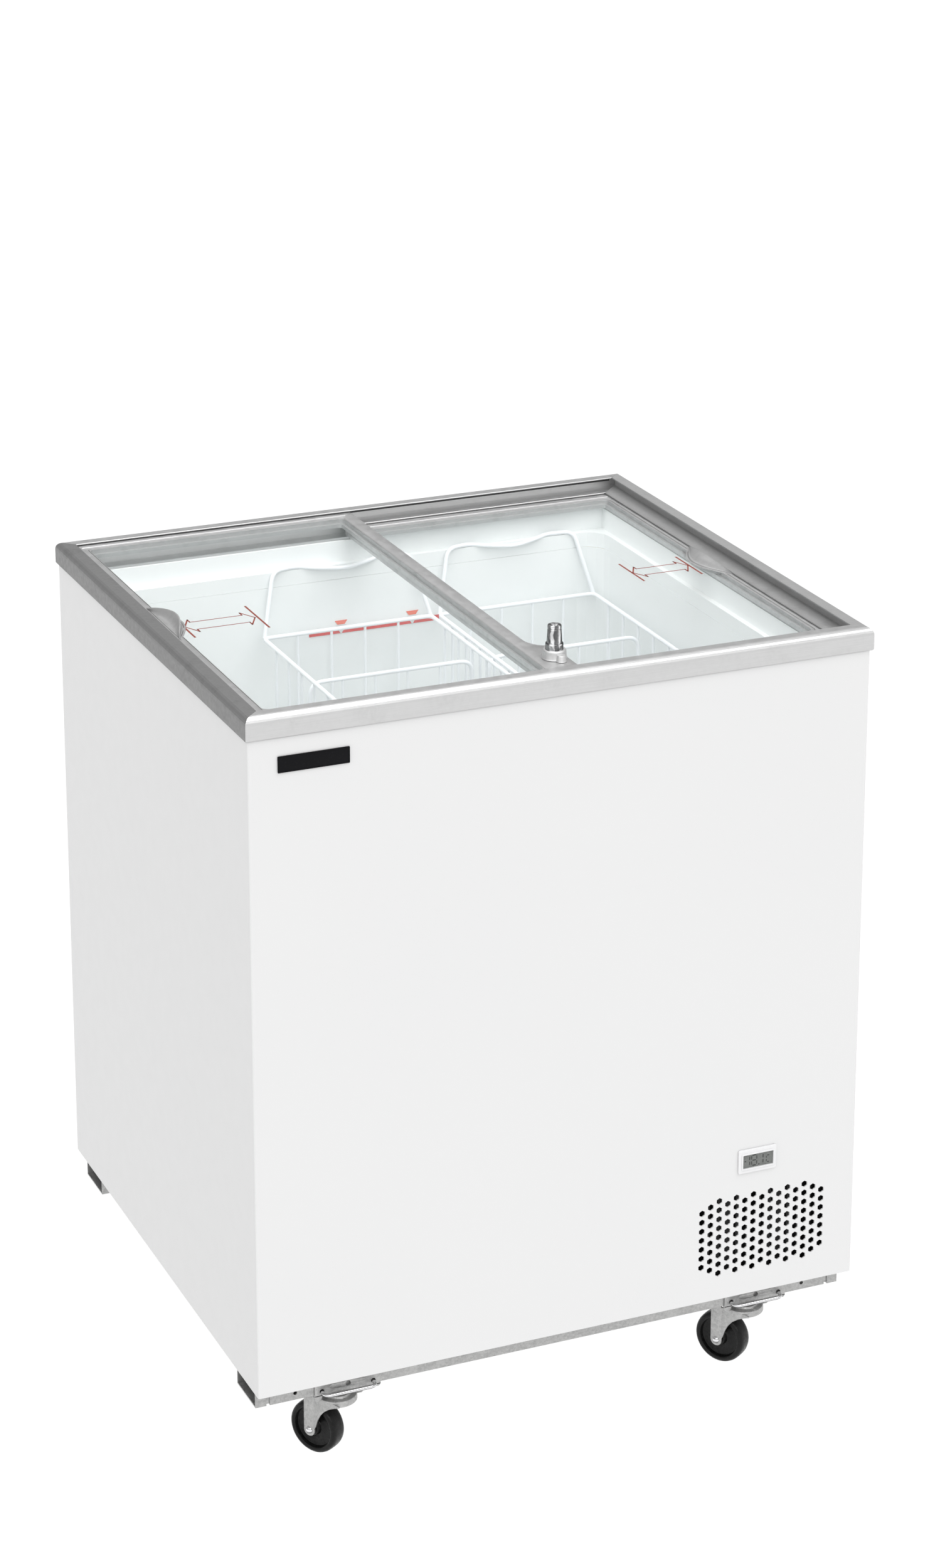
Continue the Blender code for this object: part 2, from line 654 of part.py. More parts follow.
def make_front_fittings():
    face = -CASING_Y - GAP
    x0, x1, z0, z1 = PLATE
    name_plate = box("nameplate", (x0, face - 0.0018, z0), (x1, face, z1), 0.0006)
    as_node(name_plate, "black_plastic")

    x0, x1, z0, z1 = THERMO
    bezel = box("thermometer_bezel", (x0, face - 0.0022, z0), (x1, face, z1), 0.0007)
    body = box("thermometer_body", (x0 + 0.0035, face - 0.001, z0 + 0.0035), (x1 - 0.0035, -CASING_Y + 0.014, z1 - 0.0035))
    window = (0.0067, 0.0053, 0.0063, 0.0066)
    screen_low = (x0 + window[0], face - 0.0015, z0 + window[2])
    screen_high = (x1 - window[1], face, z1 - window[3])
    join(bezel, body)
    cut(bezel, box("window_cut", (screen_low[0] - GAP, face - 0.01, screen_low[2] - GAP),
                   (screen_high[0] + GAP, face + GAP, screen_high[2] + GAP)))
    as_node(bezel, "white_plastic")
    as_node(box("thermometer_display", screen_low, screen_high), "lcd")


# ---------------------------------------------------------------- base and castors


def make_channel(name, side):
    """Open-topped channel across the bottom, notched and drilled near its ends."""
    y0, y1 = sorted((side * CHANNEL_Y0, side * CHANNEL_Y1))
    top = CLEARANCE_UNDER - GAP
    channel = box(name, (-CHANNEL_X, y0, CHANNEL_Z), (CHANNEL_X, y1, top))
    cutter_boxes = [((-0.4, y0 + SHEET, CHANNEL_Z + SHEET), (0.4, y1 - SHEET, 0.2))]
    outer = side * CHANNEL_Y0
    for end in (-1, 1):
        notch = end * (CHANNEL_X - 0.0145)
        cutter_boxes.append(((notch - 0.002, outer - 0.004, CHANNEL_Z - 0.01), (notch + 0.002, outer + 0.004, top - 0.012)))
    cut(channel, boxes(name + "_inside", cutter_boxes))
    for end in (-1, 1):
        x = end * (CHANNEL_X - 0.0455)
        cut(channel, drum(f"{name}_hole_{end}", 0.0022, (x, outer - 0.01, PIN_Z + 0.004), (x, outer + 0.01, PIN_Z + 0.004), 12))
    for _, bracket_x, bracket_side, _ in CASTORS:
        if bracket_side == side:
            cut(channel, *pin_holes(f"{name}_{bracket_x}", bracket_x, outer))
    as_node(channel, "galvanised")


def pin_holes(name, x, y):
    """Cutters for the two holes of the retaining pin."""
    return [drum(f"{name}_pin_hole_{end}", PIN_R + 0.0004, (x + end * PIN_HALF, y - 0.008, PIN_Z),
                 (x + end * PIN_HALF, y + 0.008, PIN_Z), 12) for end in (-1, 1)]


def make_bracket(name, x, side):
    """Angle that carries one castor: a plate under the channel and a flange over its outer face."""
    outer = side * (CHANNEL_Y0 + GAP + SHEET)
    y0, y1 = sorted((outer, side * CHANNEL_Y1))
    top = CLEARANCE_UNDER - GAP
    plate_top = CHANNEL_Z - GAP
    bracket = box(name, (x - BRACKET_HALF, y0, plate_top - SHEET), (x + BRACKET_HALF, y1, plate_top))
    f0, f1 = sorted((outer, outer - side * SHEET))
    flange = box(name + "_flange", (x - BRACKET_HALF, f0, BRACKET_FLANGE_Z), (x + BRACKET_HALF, f1, top))
    join(bracket, flange)
    cut(bracket, drum(name + "_hole", 0.0030, (x, outer - 0.01, PIN_Z + 0.004), (x, outer + 0.01, PIN_Z + 0.004), 12),
        *pin_holes(name, x, outer))
    as_node(bracket, "galvanised")


def make_fork(name, place, angle):
    """Swivel fork: a dish under the ball race and two legs to the axle. Local +X trails."""
    fork = turned(name, [(0.0, RACE_TOP), (RACE_R, RACE_TOP), (RACE_R, DISH_Z1), (DISH_R, DISH_Z1 - 0.0008),
                         (DISH_R, DISH_Z0), (0.0, DISH_Z0)], 20)
    leg_y = WHEEL_HALF + LEG_GAP
    bottom = 0.0075
    outline = [(TRAIL + bottom * cos(radians(a)), WHEEL_R + bottom * sin(radians(a))) for a in range(-160, 21, 36)]
    outline += [(TRAIL + bottom, 0.060), (TRAIL + bottom - 0.006, DISH_Z0 + 0.001), (-0.012, DISH_Z0 + 0.001)]
    outline += [(-0.008, 0.068), (0.006, 0.056)]
    for side in (-1, 1):
        low, high = sorted((side * leg_y, side * (leg_y + LEG_SHEET)))
        leg = plate(f"{name}_leg_{side}", [outline], low, high, "Y")
        join(fork, leg)
    bore = AXLE_R + 0.00015
    cut(fork, drum(name + "_bore", bore, (TRAIL, -0.03, WHEEL_R), (TRAIL, 0.03, WHEEL_R), 14))
    return set_at(fork, place, angle, "galvanised")


def set_at(obj, place, angle, material):
    """Bake modifiers in the castor's own frame, then stand the piece on its swivel axis."""
    name = obj.name
    done = to_mesh(obj)
    done.name = name
    done.matrix_world = Matrix.Translation((*place, 0.0)) @ Matrix.Rotation(radians(angle), 4, "Z")
    return as_node(smooth(done), material)


def make_wheel(name, place, angle):
    """Solid wheel with a dished web and a hub, turned about its axle."""
    bore, hub, web, inner = AXLE_R + GAP, 0.0085, 0.0040, WHEEL_R - 0.0065
    half = WHEEL_HALF
    profile = [(bore, half), (hub, half), (hub + 0.001, web), (inner, web), (inner + 0.0015, half - 0.001),
               (WHEEL_R - 0.0025, half - 0.001), (WHEEL_R, half - 0.004)]
    lower = [(radius, -z) for radius, z in reversed(profile)]
    wheel = turned(name, profile + lower, 24)
    wheel = to_mesh(wheel)
    wheel.name = name
    wheel.data.transform(Matrix.Translation((TRAIL, 0, WHEEL_R)) @ Matrix.Rotation(pi / 2, 4, "X"))
    wheel.data.transform(Matrix.Diagonal((1, 1, 1, 1)))
    return set_at(wheel, place, angle, "black_plastic")


def make_axle(name, place, angle):
    reach = WHEEL_HALF + LEG_GAP + LEG_SHEET
    head = reach + GAP
    profile = [(0.0, head + 0.0022), (AXLE_HEAD_R - 0.0020, head + 0.0020), (AXLE_HEAD_R, head + 0.0006),
               (AXLE_HEAD_R, head), (AXLE_R, head)]
    profile += [(radius, -z) for radius, z in reversed(profile)]
    axle = to_mesh(turned(name, profile, 14))
    axle.name = name
    axle.data.transform(Matrix.Translation((TRAIL, 0, WHEEL_R)) @ Matrix.Rotation(pi / 2, 4, "X"))
    return set_at(axle, place, angle, "galvanised")


def make_pin(name, x):
    """U-shaped wire pin pushed through the bracket's flange and the channel."""
    face = -(CHANNEL_Y0 + GAP + SHEET)
    corners = [(x - PIN_HALF, face + PIN_IN, PIN_Z), (x - PIN_HALF, face - PIN_OUT, PIN_Z),
               (x + PIN_HALF, face - PIN_OUT, PIN_Z), (x + PIN_HALF, face + PIN_IN, PIN_Z)]
    pin = tube(name, filleted(corners, 0.006), PIN_R)
    as_node(smooth(pin, 50), "chrome")


def make_running_gear():
    make_channel("front_channel", -1)
    make_channel("rear_channel", 1)
    for corner, x, side, angle in CASTORS:
        make_bracket("castor_bracket_" + corner, x, side)
        place = (x - side * SWIVEL_SHIFT, side * SWIVEL_Y)
        make_fork("castor_fork_" + corner, place, angle)
        make_wheel("castor_wheel_" + corner, place, angle)
        make_axle("castor_axle_" + corner, place, angle)
    make_pin("castor_pin_left", -BRACKET_X)
    make_pin("castor_pin_right", BRACKET_X)


# ---------------------------------------------------------------- baskets


def hoop_across(x0, x1, y, name):
    """Wire down one side, across the floor and up the other side."""
    points = [(x0, y, BASKET_RIM), (x0, y, BASKET_FLOOR), (x1, y, BASKET_FLOOR), (x1, y, BASKET_RIM)]
    return tube(name, filleted(points, 0.008, 1), WIRE_R, resolution=0)


def hoop_along(x, name):
    """Wire down the rear, along the floor and up the front."""
    points = [(x, BASKET_Y, BASKET_RIM), (x, BASKET_Y, BASKET_FLOOR), (x, -BASKET_Y, BASKET_FLOOR), (x, -BASKET_Y, BASKET_RIM)]
    return tube(name, filleted(points, 0.008, 1), WIRE_R, resolution=0)


def hanger(x0, x1, side, name):
    """Loop of thick wire that stands up from an end of the basket and lies on the collar's ledge."""
    y, edge, top = side * HANG_Y, side * HANG_EDGE_Y, LEDGE + GAP + RAIL_R
    low_x, high_x = x0 + HANG_INSET, x1 - HANG_INSET
    points = [(x0, side * BASKET_Y, BASKET_RIM), (low_x, edge, top), (low_x + 0.007, y, top),
              (high_x - 0.007, y, top), (high_x, edge, top), (x1, side * BASKET_Y, BASKET_RIM)]
    return tube(name, points, RAIL_R, resolution=1)


def make_basket(side, x0, x1):
    name = side + "_basket"
    rim = [(x0, -BASKET_Y, BASKET_RIM), (x1, -BASKET_Y, BASKET_RIM), (x1, BASKET_Y, BASKET_RIM), (x0, BASKET_Y, BASKET_RIM)]
    basket = tube(name, rim, RAIL_R, cyclic=True, resolution=1)
    wires = []
    across = 7
    for place in range(1, across + 1):
        y = -BASKET_Y + 2 * BASKET_Y * place / (across + 1)
        wires.append(hoop_across(x0, x1, y, f"{name}_across_{place}"))
    along = 3
    for place in range(1, along + 1):
        x = x0 + (x1 - x0) * place / (along + 1)
        wires.append(hoop_along(x, f"{name}_along_{place}"))
    low = BASKET_RIM - 0.095
    ring = [(x0, -BASKET_Y, low), (x1, -BASKET_Y, low), (x1, BASKET_Y, low), (x0, BASKET_Y, low)]
    wires.append(tube(name + "_ring", ring, WIRE_R, cyclic=True, resolution=0))
    wires.append(hanger(x0, x1, 1, name + "_hanger_rear"))
    wires.append(hanger(x0, x1, -1, name + "_hanger_front"))
    join(basket, *wires)
    basket = to_mesh(basket)
    basket.name = name
    as_node(basket, "white_wire")

    margin = RAIL_R + WIRE_R + 0.0012
    low_z = BASKET_FLOOR + 2 * WIRE_R + 0.002
    inner_x0, inner_x1 = x0 + margin, x1 - margin
    hoop = [(inner_x0, DIVIDER_Y, low_z), (inner_x0, DIVIDER_Y, DIVIDER_TOP), (inner_x1, DIVIDER_Y, DIVIDER_TOP), (inner_x1, DIVIDER_Y, low_z)]
    divider = tube(name + "_divider", filleted(hoop, 0.014, 3), 0.0021, resolution=1)
    bars = [tube(name + "_divider_foot", [(inner_x0, DIVIDER_Y, low_z + 0.004), (inner_x1, DIVIDER_Y, low_z + 0.004)], WIRE_R, resolution=0)]
    for place in range(1, 5):
        x = inner_x0 + (inner_x1 - inner_x0) * place / 5
        bars.append(tube(f"{name}_divider_bar_{place}", [(x, DIVIDER_Y, low_z), (x, DIVIDER_Y, DIVIDER_TOP)], WIRE_R, resolution=0))
    join(divider, *bars)
    as_node(divider, "white_wire")


def make_baskets():
    for side, x0, x1 in BASKETS:
        make_basket(side, x0, x1)


# ---------------------------------------------------------------- compressor space


def make_compressor():
    x, y, z = 0.245, 0.105, SPACE_Z0 + 0.012
    can = turned("compressor", [(0.0, 0.132), (0.030, 0.128), (0.052, 0.112), (0.062, 0.086), (0.064, 0.070),
                                (0.068, 0.068), (0.068, 0.064), (0.064, 0.062), (0.062, 0.030), (0.048, 0.006), (0.0, 0.0)], 20)
    can.data.transform(Matrix.Translation((0, 0, z)))
    can.location = (x, y, 0.0)
    foot = box("compressor_foot", (x - 0.075, y - 0.045, SPACE_Z0 + 0.008), (x + 0.075, y + 0.045, SPACE_Z0 + 0.022))
    stud = [drum(f"compressor_rubber_{i}", 0.010, (x + sx * 0.062, y + sy * 0.033, SPACE_Z0), (x + sx * 0.062, y + sy * 0.033, SPACE_Z0 + 0.012), 14)
            for i, (sx, sy) in enumerate(((-1, -1), (1, -1), (-1, 1), (1, 1)))]
    join(can, foot, *stud)
    as_node(smooth(can), "black_paint")
    terminal = box("compressor_terminal_box", (x - 0.028, y - 0.098, z + 0.030), (x + 0.028, y - 0.0690, z + 0.090), 0.003)
    as_node(terminal, "black_plastic")
    line = [(x - 0.020, y, z + 0.1305), (x - 0.020, y, z + 0.180), (x - 0.070, y - 0.050, z + 0.180),
            (x - 0.070, -0.180, z + 0.180), (x - 0.070, -0.240, z + 0.145), (x - 0.070, -0.2720, z + 0.145)]
    as_node(smooth(tube("discharge_line", filleted(line, 0.018, 3), 0.003), 50), "copper")
    drier = turned("filter_drier", [(0.0, 0.050), (0.003, 0.050), (0.003, 0.040), (0.010, 0.030), (0.010, -0.030),
                                    (0.003, -0.040), (0.003, -0.050), (0.0, -0.050)], 20)
    drier.location = (0.175, 0.215, 0.225)
    drier.rotation_euler = (radians(70), 0, 0)
    as_node(smooth(drier), "copper")


def make_fan_and_condenser():
    x0, x1, z0, z1 = FAN_X - 0.083, FAN_X + 0.083, SPACE_Z0 + 0.002, SPACE_Z0 + 0.142
    condenser = box("condenser", (x0, -0.300, z0), (x1, -0.268, z1))
    fins = 13
    pitch = (x1 - x0) / fins
    slots = [((x0 + (i + 0.3) * pitch, -0.31, z0 + 0.006), (x0 + (i + 0.85) * pitch, -0.276, z1 - 0.006)) for i in range(fins)]
    cut(condenser, boxes("condenser_slots", slots))
    as_node(condenser, "black_paint")

    guard = box("fan_motor", (x0, -0.2580, z0), (x1, -0.2560, z1))
    cut(guard, drum("fan_mouth", 0.060, (FAN_X, -0.30, FAN_Z), (FAN_X, -0.20, FAN_Z), 32))
    arms = [box(f"fan_arm_{side}", (FAN_X + side * 0.066 - 0.005, -0.2570, FAN_Z - 0.006), (FAN_X + side * 0.066 + 0.005, -0.200, FAN_Z + 0.006)) for side in (-1, 1)]
    arms.append(box("fan_strap", (FAN_X - 0.070, -0.203, FAN_Z - 0.006), (FAN_X + 0.070, -0.200, FAN_Z + 0.006)))
    motor = drum("fan_motor_can", 0.028, (FAN_X, -0.230, FAN_Z), (FAN_X, -0.195, FAN_Z), 24)
    join(guard, *arms, motor)
    as_node(guard, "black_paint")

    blade = drum("fan_blade", 0.016, (FAN_X, -0.2530, FAN_Z), (FAN_X, -0.2305, FAN_Z), 20)
    vanes = 5
    for vane in range(vanes):
        wing = box(f"fan_vane_{vane}", (-0.014, -0.001, 0.012), (0.014, 0.001, 0.053))
        wing.data.transform(Matrix.Translation((FAN_X, -0.2425, FAN_Z)) @ Matrix.Rotation(2 * pi * vane / vanes, 4, "Y")
                            @ Matrix.Rotation(radians(28), 4, "Z"))
        join(blade, wing)
    as_node(blade, "black_plastic")


def make_rear_cover():
    """Louvred tray behind the compressor, with the thermostat's knob and the gland for the lead."""
    x0, x1, z0, z1 = SPACE_X0 + 0.004, SPACE_X1 - 0.004, SPACE_Z0 + 0.004, SPACE_Z1 - 0.006
    tray = box("rear_grille", (x0, TRAY_Y0, z0), (x1, TRAY_Y1, z1))
    cutter_boxes = [((x0 + SHEET, TRAY_Y0 + SHEET, z0 + SHEET), (x1 - SHEET, 0.4, z1 - SHEET))]
    for row in range(9):
        z = z0 + 0.045 + row * 0.0135
        cutter_boxes.append(((x0 + 0.025, 0.2, z), (x1 - 0.045, TRAY_Y0 + SHEET / 2, z + 0.006)))
    cut(
        tray,
        boxes("tray_inside", cutter_boxes[:1]),
        boxes("tray_louvres", [(low, (high[0], TRAY_Y0 + 2 * SHEET, high[2])) for low, high in cutter_boxes[1:]]),
        drum("knob_hole", 0.0036, (KNOB_X, 0.2, KNOB_Z), (KNOB_X, 0.4, KNOB_Z), 16),
        drum("gland_hole", 0.0080, (GLAND_X, 0.2, GLAND_Z), (GLAND_X, 0.4, GLAND_Z), 20),
    )
    as_node(tray, "black_paint")

    knob = turned("thermostat_knob", [(0.0, 0.0100), (0.0130, 0.0100), (0.0145, 0.0085), (0.0150, 0.0006),
                                      (0.0030, 0.0006), (0.0030, -0.0040), (0.0, -0.0040)], 24)
    knob.location = (KNOB_X, TRAY_Y0 + SHEET, KNOB_Z)
    knob.rotation_euler = (-pi / 2, 0, 0)
    as_node(smooth(knob), "black_plastic")
    body = box("thermostat_body", (KNOB_X - 0.022, TRAY_Y0 - 0.034, KNOB_Z - 0.020), (KNOB_X + 0.022, TRAY_Y0 - 0.0035, KNOB_Z + 0.020), 0.002)
    as_node(body, "white_plastic")
    gland = turned("mains_gland", [(0.0040, 0.0100), (0.0085, 0.0095), (0.0110, 0.0030), (0.0110, 0.0004), (0.0075, 0.0004),
                                   (0.0075, -0.0060), (0.0040, -0.0060)], 24)
    gland.location = (GLAND_X, TRAY_Y0 + SHEET, GLAND_Z)
    gland.rotation_euler = (-pi / 2, 0, 0)
    as_node(smooth(gland), "black_plastic")


def main():
    global parts, cutters
    clear_scene()
    parts = new_collection("ice_cream_display_freezer")
    cutters = new_collection("cutters")
    make_materials()
    make_casing()
    make_rear_and_base()
    make_tub()
    make_foam()
    make_evaporator()
    make_rims()
    make_lids()
    make_lock()
    make_front_fittings()
    make_running_gear()
    make_baskets()
    make_compressor()
    make_fan_and_condenser()
    make_rear_cover()


main()
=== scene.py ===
"""Looks of a chest display freezer with flat sliding glass lids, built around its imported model."""

from math import cos, pi, radians, sin, sqrt

import bmesh
import bpy
from mathutils import Matrix, Vector


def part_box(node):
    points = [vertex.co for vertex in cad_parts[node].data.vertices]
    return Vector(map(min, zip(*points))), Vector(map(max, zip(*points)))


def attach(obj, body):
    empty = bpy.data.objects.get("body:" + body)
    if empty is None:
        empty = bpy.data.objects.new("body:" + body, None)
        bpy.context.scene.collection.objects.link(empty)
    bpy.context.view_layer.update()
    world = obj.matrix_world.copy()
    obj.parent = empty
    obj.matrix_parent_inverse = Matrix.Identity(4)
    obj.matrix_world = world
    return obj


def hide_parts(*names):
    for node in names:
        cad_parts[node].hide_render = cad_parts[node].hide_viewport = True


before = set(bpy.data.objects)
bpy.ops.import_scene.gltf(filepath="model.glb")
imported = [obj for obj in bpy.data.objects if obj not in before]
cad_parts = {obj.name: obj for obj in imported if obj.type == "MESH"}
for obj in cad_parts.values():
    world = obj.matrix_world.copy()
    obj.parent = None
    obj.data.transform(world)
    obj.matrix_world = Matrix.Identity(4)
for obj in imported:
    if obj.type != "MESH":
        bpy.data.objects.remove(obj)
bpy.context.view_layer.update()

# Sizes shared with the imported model, in metres
LEFT_Z0, LEFT_Z1 = 0.8668, 0.8766
RIGHT_Z0, RIGHT_Z1 = 0.8558, 0.8646
LEFT_OUTER = (-0.3445, -0.0015, 0.3055)  # low x, high x, half depth
LEFT_OPEN = (-0.3310, -0.0180, -0.2945, 0.2820)  # low x, high x, low y, high y
RIGHT_OUTER = (-0.0155, 0.3300, 0.2865)
RIGHT_OPEN = (-0.0025, 0.3160, -0.2640, 0.2640)
PANE_DROP, PANE_REST = 0.0008, 0.0046  # glass below its frame's top, and its seat above the frame's base
LEFT_LEAF = (-0.3370, 1, 0.0550, 0.0188)  # scoop's chord x, side it bulges to, half length, bulge
RIGHT_LEAF = (0.3238, -1, 0.0550, 0.0215)
LOCK = (0.0063, -0.2650)
LOCK_PLATE_X, LOCK_PLATE_Y, LOCK_FILLET = 0.0198, -0.2270, 0.028
FACE_Y = -0.3173  # just proud of the front panel
PIN_HALF, PIN_R, PIN_Z = 0.0298, 0.0021, 0.0880
TRAIL, WHEEL_R, WHEEL_HALF = 0.026, 0.0305, 0.0110
BRACKET_X, BRACKET_HALF = 0.2470, 0.0383
SWIVEL_SHIFT, SWIVEL_Y = -0.0098, 0.2870
CASTORS = (  # corner, bracket's x, front or rear, heading in degrees
    ("front_left", -BRACKET_X, -1, 122.5),
    ("front_right", BRACKET_X, -1, 123.5),
    ("rear_left", -BRACKET_X, 1, 250.0),
    ("rear_right", BRACKET_X, 1, 281.0),
)
THICK_WIRE, THIN_WIRE = 0.0025, 0.0016  # radii
BASKETS = (("left", -0.1325, 0.0795), ("right", 0.0895, 0.2930))
BASKET_Y, BASKET_RIM, BASKET_FLOOR = 0.2470, 0.7530, 0.5450
DIVIDER_Y, DIVIDER_TOP = 0.1110, 0.7420
REAR_WALL_Y = 0.2617
SKIN, INK = 0.00008, 0.00012  # thickness of the print on the glass, and of the display's figures
SUNS = (  # name, azimuth, elevation and spread in degrees, strength
    ("key", 40, 56, 34, 0.80),
    ("fill", -68, 46, 60, 0.70),
    ("front", -8, 34, 30, 0.45),
    ("rear", 165, 58, 50, 0.50),
)


# ---------------------------------------------------------------- materials


def srgb(red, green, blue):
    """Linear colour of an 8-bit one."""
    return tuple((value / 255) ** 2.2 for value in (red, green, blue))


class Finish:
    """A Principled material and the nodes that feed it. Sizes are in metres on the object."""

    def __init__(self, name, colour, roughness, metallic=0.0, **constants):
        self.material = bpy.data.materials.new(name)
        self.material.use_nodes = True
        self.tree = self.material.node_tree
        self.shader = self.tree.nodes["Principled BSDF"]
        self.roughness = roughness
        self.base = self.shader.inputs["Base Color"]
        self.base.default_value = (*colour, 1)
        self.shader.inputs["Roughness"].default_value = roughness
        self.shader.inputs["Metallic"].default_value = metallic
        for key, value in constants.items():
            self.shader.inputs[key.replace("_", " ")].default_value = value
        self.coords = self.add("TexCoord").outputs["Object"]
        self.normal = None

    def add(self, kind, inputs=None, **settings):
        node = self.tree.nodes.new("ShaderNode" + kind)
        for key, value in settings.items():
            setattr(node, key, value)
        for key, value in (inputs or {}).items():
            self.feed(node.inputs[key], value)
        return node

    def feed(self, socket, value):
        if isinstance(value, bpy.types.NodeSocket):
            self.tree.links.new(value, socket)
        else:
            socket.default_value = value

    def levels(self, value, low, high, to_low=0.0, to_high=1.0):
        node = self.add("MapRange", {"Value": value, "From Min": low, "From Max": high,
                                     "To Min": to_low, "To Max": to_high})
        return node.outputs["Result"]

    def noise(self, size, stretch=(1, 1, 1), low=0.35, high=0.65, detail=3.0, offset=(0, 0, 0)):
        """Field of 0 to 1 whose patches are about size across, longer by stretch."""
        scale = tuple(1 / (size * factor) for factor in stretch)
        spread = self.add("Mapping", {"Vector": self.coords, "Scale": scale, "Location": offset})
        field = self.add("TexNoise", {"Vector": spread.outputs["Vector"], "Scale": 1.0, "Detail": detail})
        return self.levels(field.outputs["Fac"], low, high)

    def grains(self, size, low=0.0, high=1.0):
        """A random level for each cell about size across."""
        cells = self.add("TexVoronoi", {"Vector": self.coords, "Scale": 1 / size})
        split = self.add("SeparateColor", {"Color": cells.outputs["Color"]})
        return self.levels(split.outputs[0], 0, 1, low, high)

    def product(self, first, second, operation="MULTIPLY"):
        node = self.add("Math", operation=operation)
        self.feed(node.inputs[0], first)
        self.feed(node.inputs[1], second)
        return node.outputs[0]

    def tint(self, factor, colour, strength=1.0):
        """Lay a colour over the base colour where factor is high."""
        mix = self.add("Mix", data_type="RGBA")
        amount = self.levels(factor, 0, 1, 0, strength)
        self.feed(mix.inputs[0], amount)
        if self.base.is_linked:
            self.feed(mix.inputs[6], self.base.links[0].from_socket)
        else:
            self.feed(mix.inputs[6], tuple(self.base.default_value))
        self.feed(mix.inputs[7], (*colour, 1))
        self.feed(self.base, mix.outputs[2])
        return self

    def gloss(self, factor, change):
        """Roughness that rises by change where factor is high."""
        value = self.levels(factor, 0, 1, self.roughness, self.roughness + change)
        self.feed(self.shader.inputs["Roughness"], value)
        return self

    def bump(self, height, distance, strength=1.0):
        node = self.add("Bump", {"Height": height, "Distance": distance, "Strength": strength})
        if self.normal:
            self.feed(node.inputs["Normal"], self.normal)
        self.normal = node.outputs["Normal"]
        self.feed(self.shader.inputs["Normal"], self.normal)
        return self


def make_enamel():
    """Powder-coated sheet steel with a faint orange peel."""
    paint = Finish("white_enamel", (0.675, 0.675, 0.675), 0.36)
    paint.tint(paint.noise(0.30, low=0.3, high=0.7), (0.665, 0.666, 0.668), 0.5)
    paint.tint(paint.noise(0.0012, low=0.62, high=0.75), (0.58, 0.58, 0.57), 0.10)
    paint.gloss(paint.noise(0.02), 0.06)
    return paint.bump(paint.noise(0.0016), 0.00003, 0.5)


def make_liner_white():
    plastic = Finish("liner_white", (0.90, 0.925, 0.92), 0.30)
    plastic.tint(plastic.noise(0.12, low=0.3, high=0.7), (0.88, 0.91, 0.91), 0.5)
    plastic.gloss(plastic.noise(0.01), 0.08)
    return plastic.bump(plastic.noise(0.004), 0.00006, 0.4)


def make_rim_metal(name, stretch, colour, stains, metallic=1.0):
    """Anodised extrusion: fine lengthwise lines, mottled patches and a few darker stains."""
    metal = Finish(name, colour, 0.36, metallic)
    lines = tuple(value * 0.72 for value in colour)
    metal.tint(metal.noise(0.0006, stretch, 0.3, 0.7), lines, 0.22)
    metal.tint(metal.noise(0.012, (1, 1, 1), 0.45, 0.75), lines, stains * 0.6)
    stain = metal.product(metal.noise(0.030, low=0.54, high=0.66, detail=5.0),
                          metal.noise(0.004, low=0.35, high=0.60))
    metal.tint(stain, tuple(value * 0.45 for value in colour), stains)
    metal.gloss(metal.noise(0.006), 0.10)
    return metal.bump(metal.noise(0.0005, stretch), 0.00002, 0.35)


def make_lid_grey(name, colour):
    """Satin grey frame with faint streaks and smudges."""
    grey = Finish(name, colour, 0.33, 0.75)
    darker = tuple(value * 0.72 for value in colour)
    grey.tint(grey.noise(0.0005, (1, 40, 1), 0.3, 0.7), darker, 0.22)
    grey.tint(grey.noise(0.016, low=0.50, high=0.72, detail=5.0), darker, 0.45)
    grey.gloss(grey.noise(0.008), 0.16)
    return grey.bump(grey.noise(0.0006, (1, 30, 1)), 0.00002, 0.4)


def make_handle_grey():
    grey = Finish("handle_grey", (0.44, 0.44, 0.44), 0.30, 0.55)
    grey.tint(grey.noise(0.010, low=0.50, high=0.75), (0.30, 0.30, 0.30), 0.35)
    grey.gloss(grey.noise(0.004), 0.15)
    return grey.bump(grey.noise(0.0015), 0.00003, 0.4)


def make_glass():
    """Tempered pane: clear, a touch green, brighter at a grazing angle, with faint smudges."""
    glass = Finish("tempered_glass", (0.84, 0.93, 0.92), 0.03, 0.0, IOR=1.45)
    edge = glass.add("LayerWeight", {"Blend": 0.22}).outputs["Facing"]
    smear = glass.levels(glass.noise(0.05, (1, 2.4, 1), 0.45, 0.75, 5.0), 0, 1, 0.0, 0.025)
    clear = glass.levels(edge, 0.0, 1.0, 0.01, 0.11)
    glass.feed(glass.shader.inputs["Alpha"], glass.product(clear, smear, "ADD"))
    glass.gloss(glass.noise(0.03, low=0.5, high=0.8), 0.05)
    return glass


# Painted reflection round the lock, dark and bright bands: position within half a turn, level of bright metal
LOCK_REFLECTION_BANDS = ((0.16, 0.75), (0.20, 0), (0.33, 0), (0.38, 0.95), (0.52, 0.85), (0.57, 0), (0.64, 0),
              (0.71, 1.0), (0.9, 0.9))


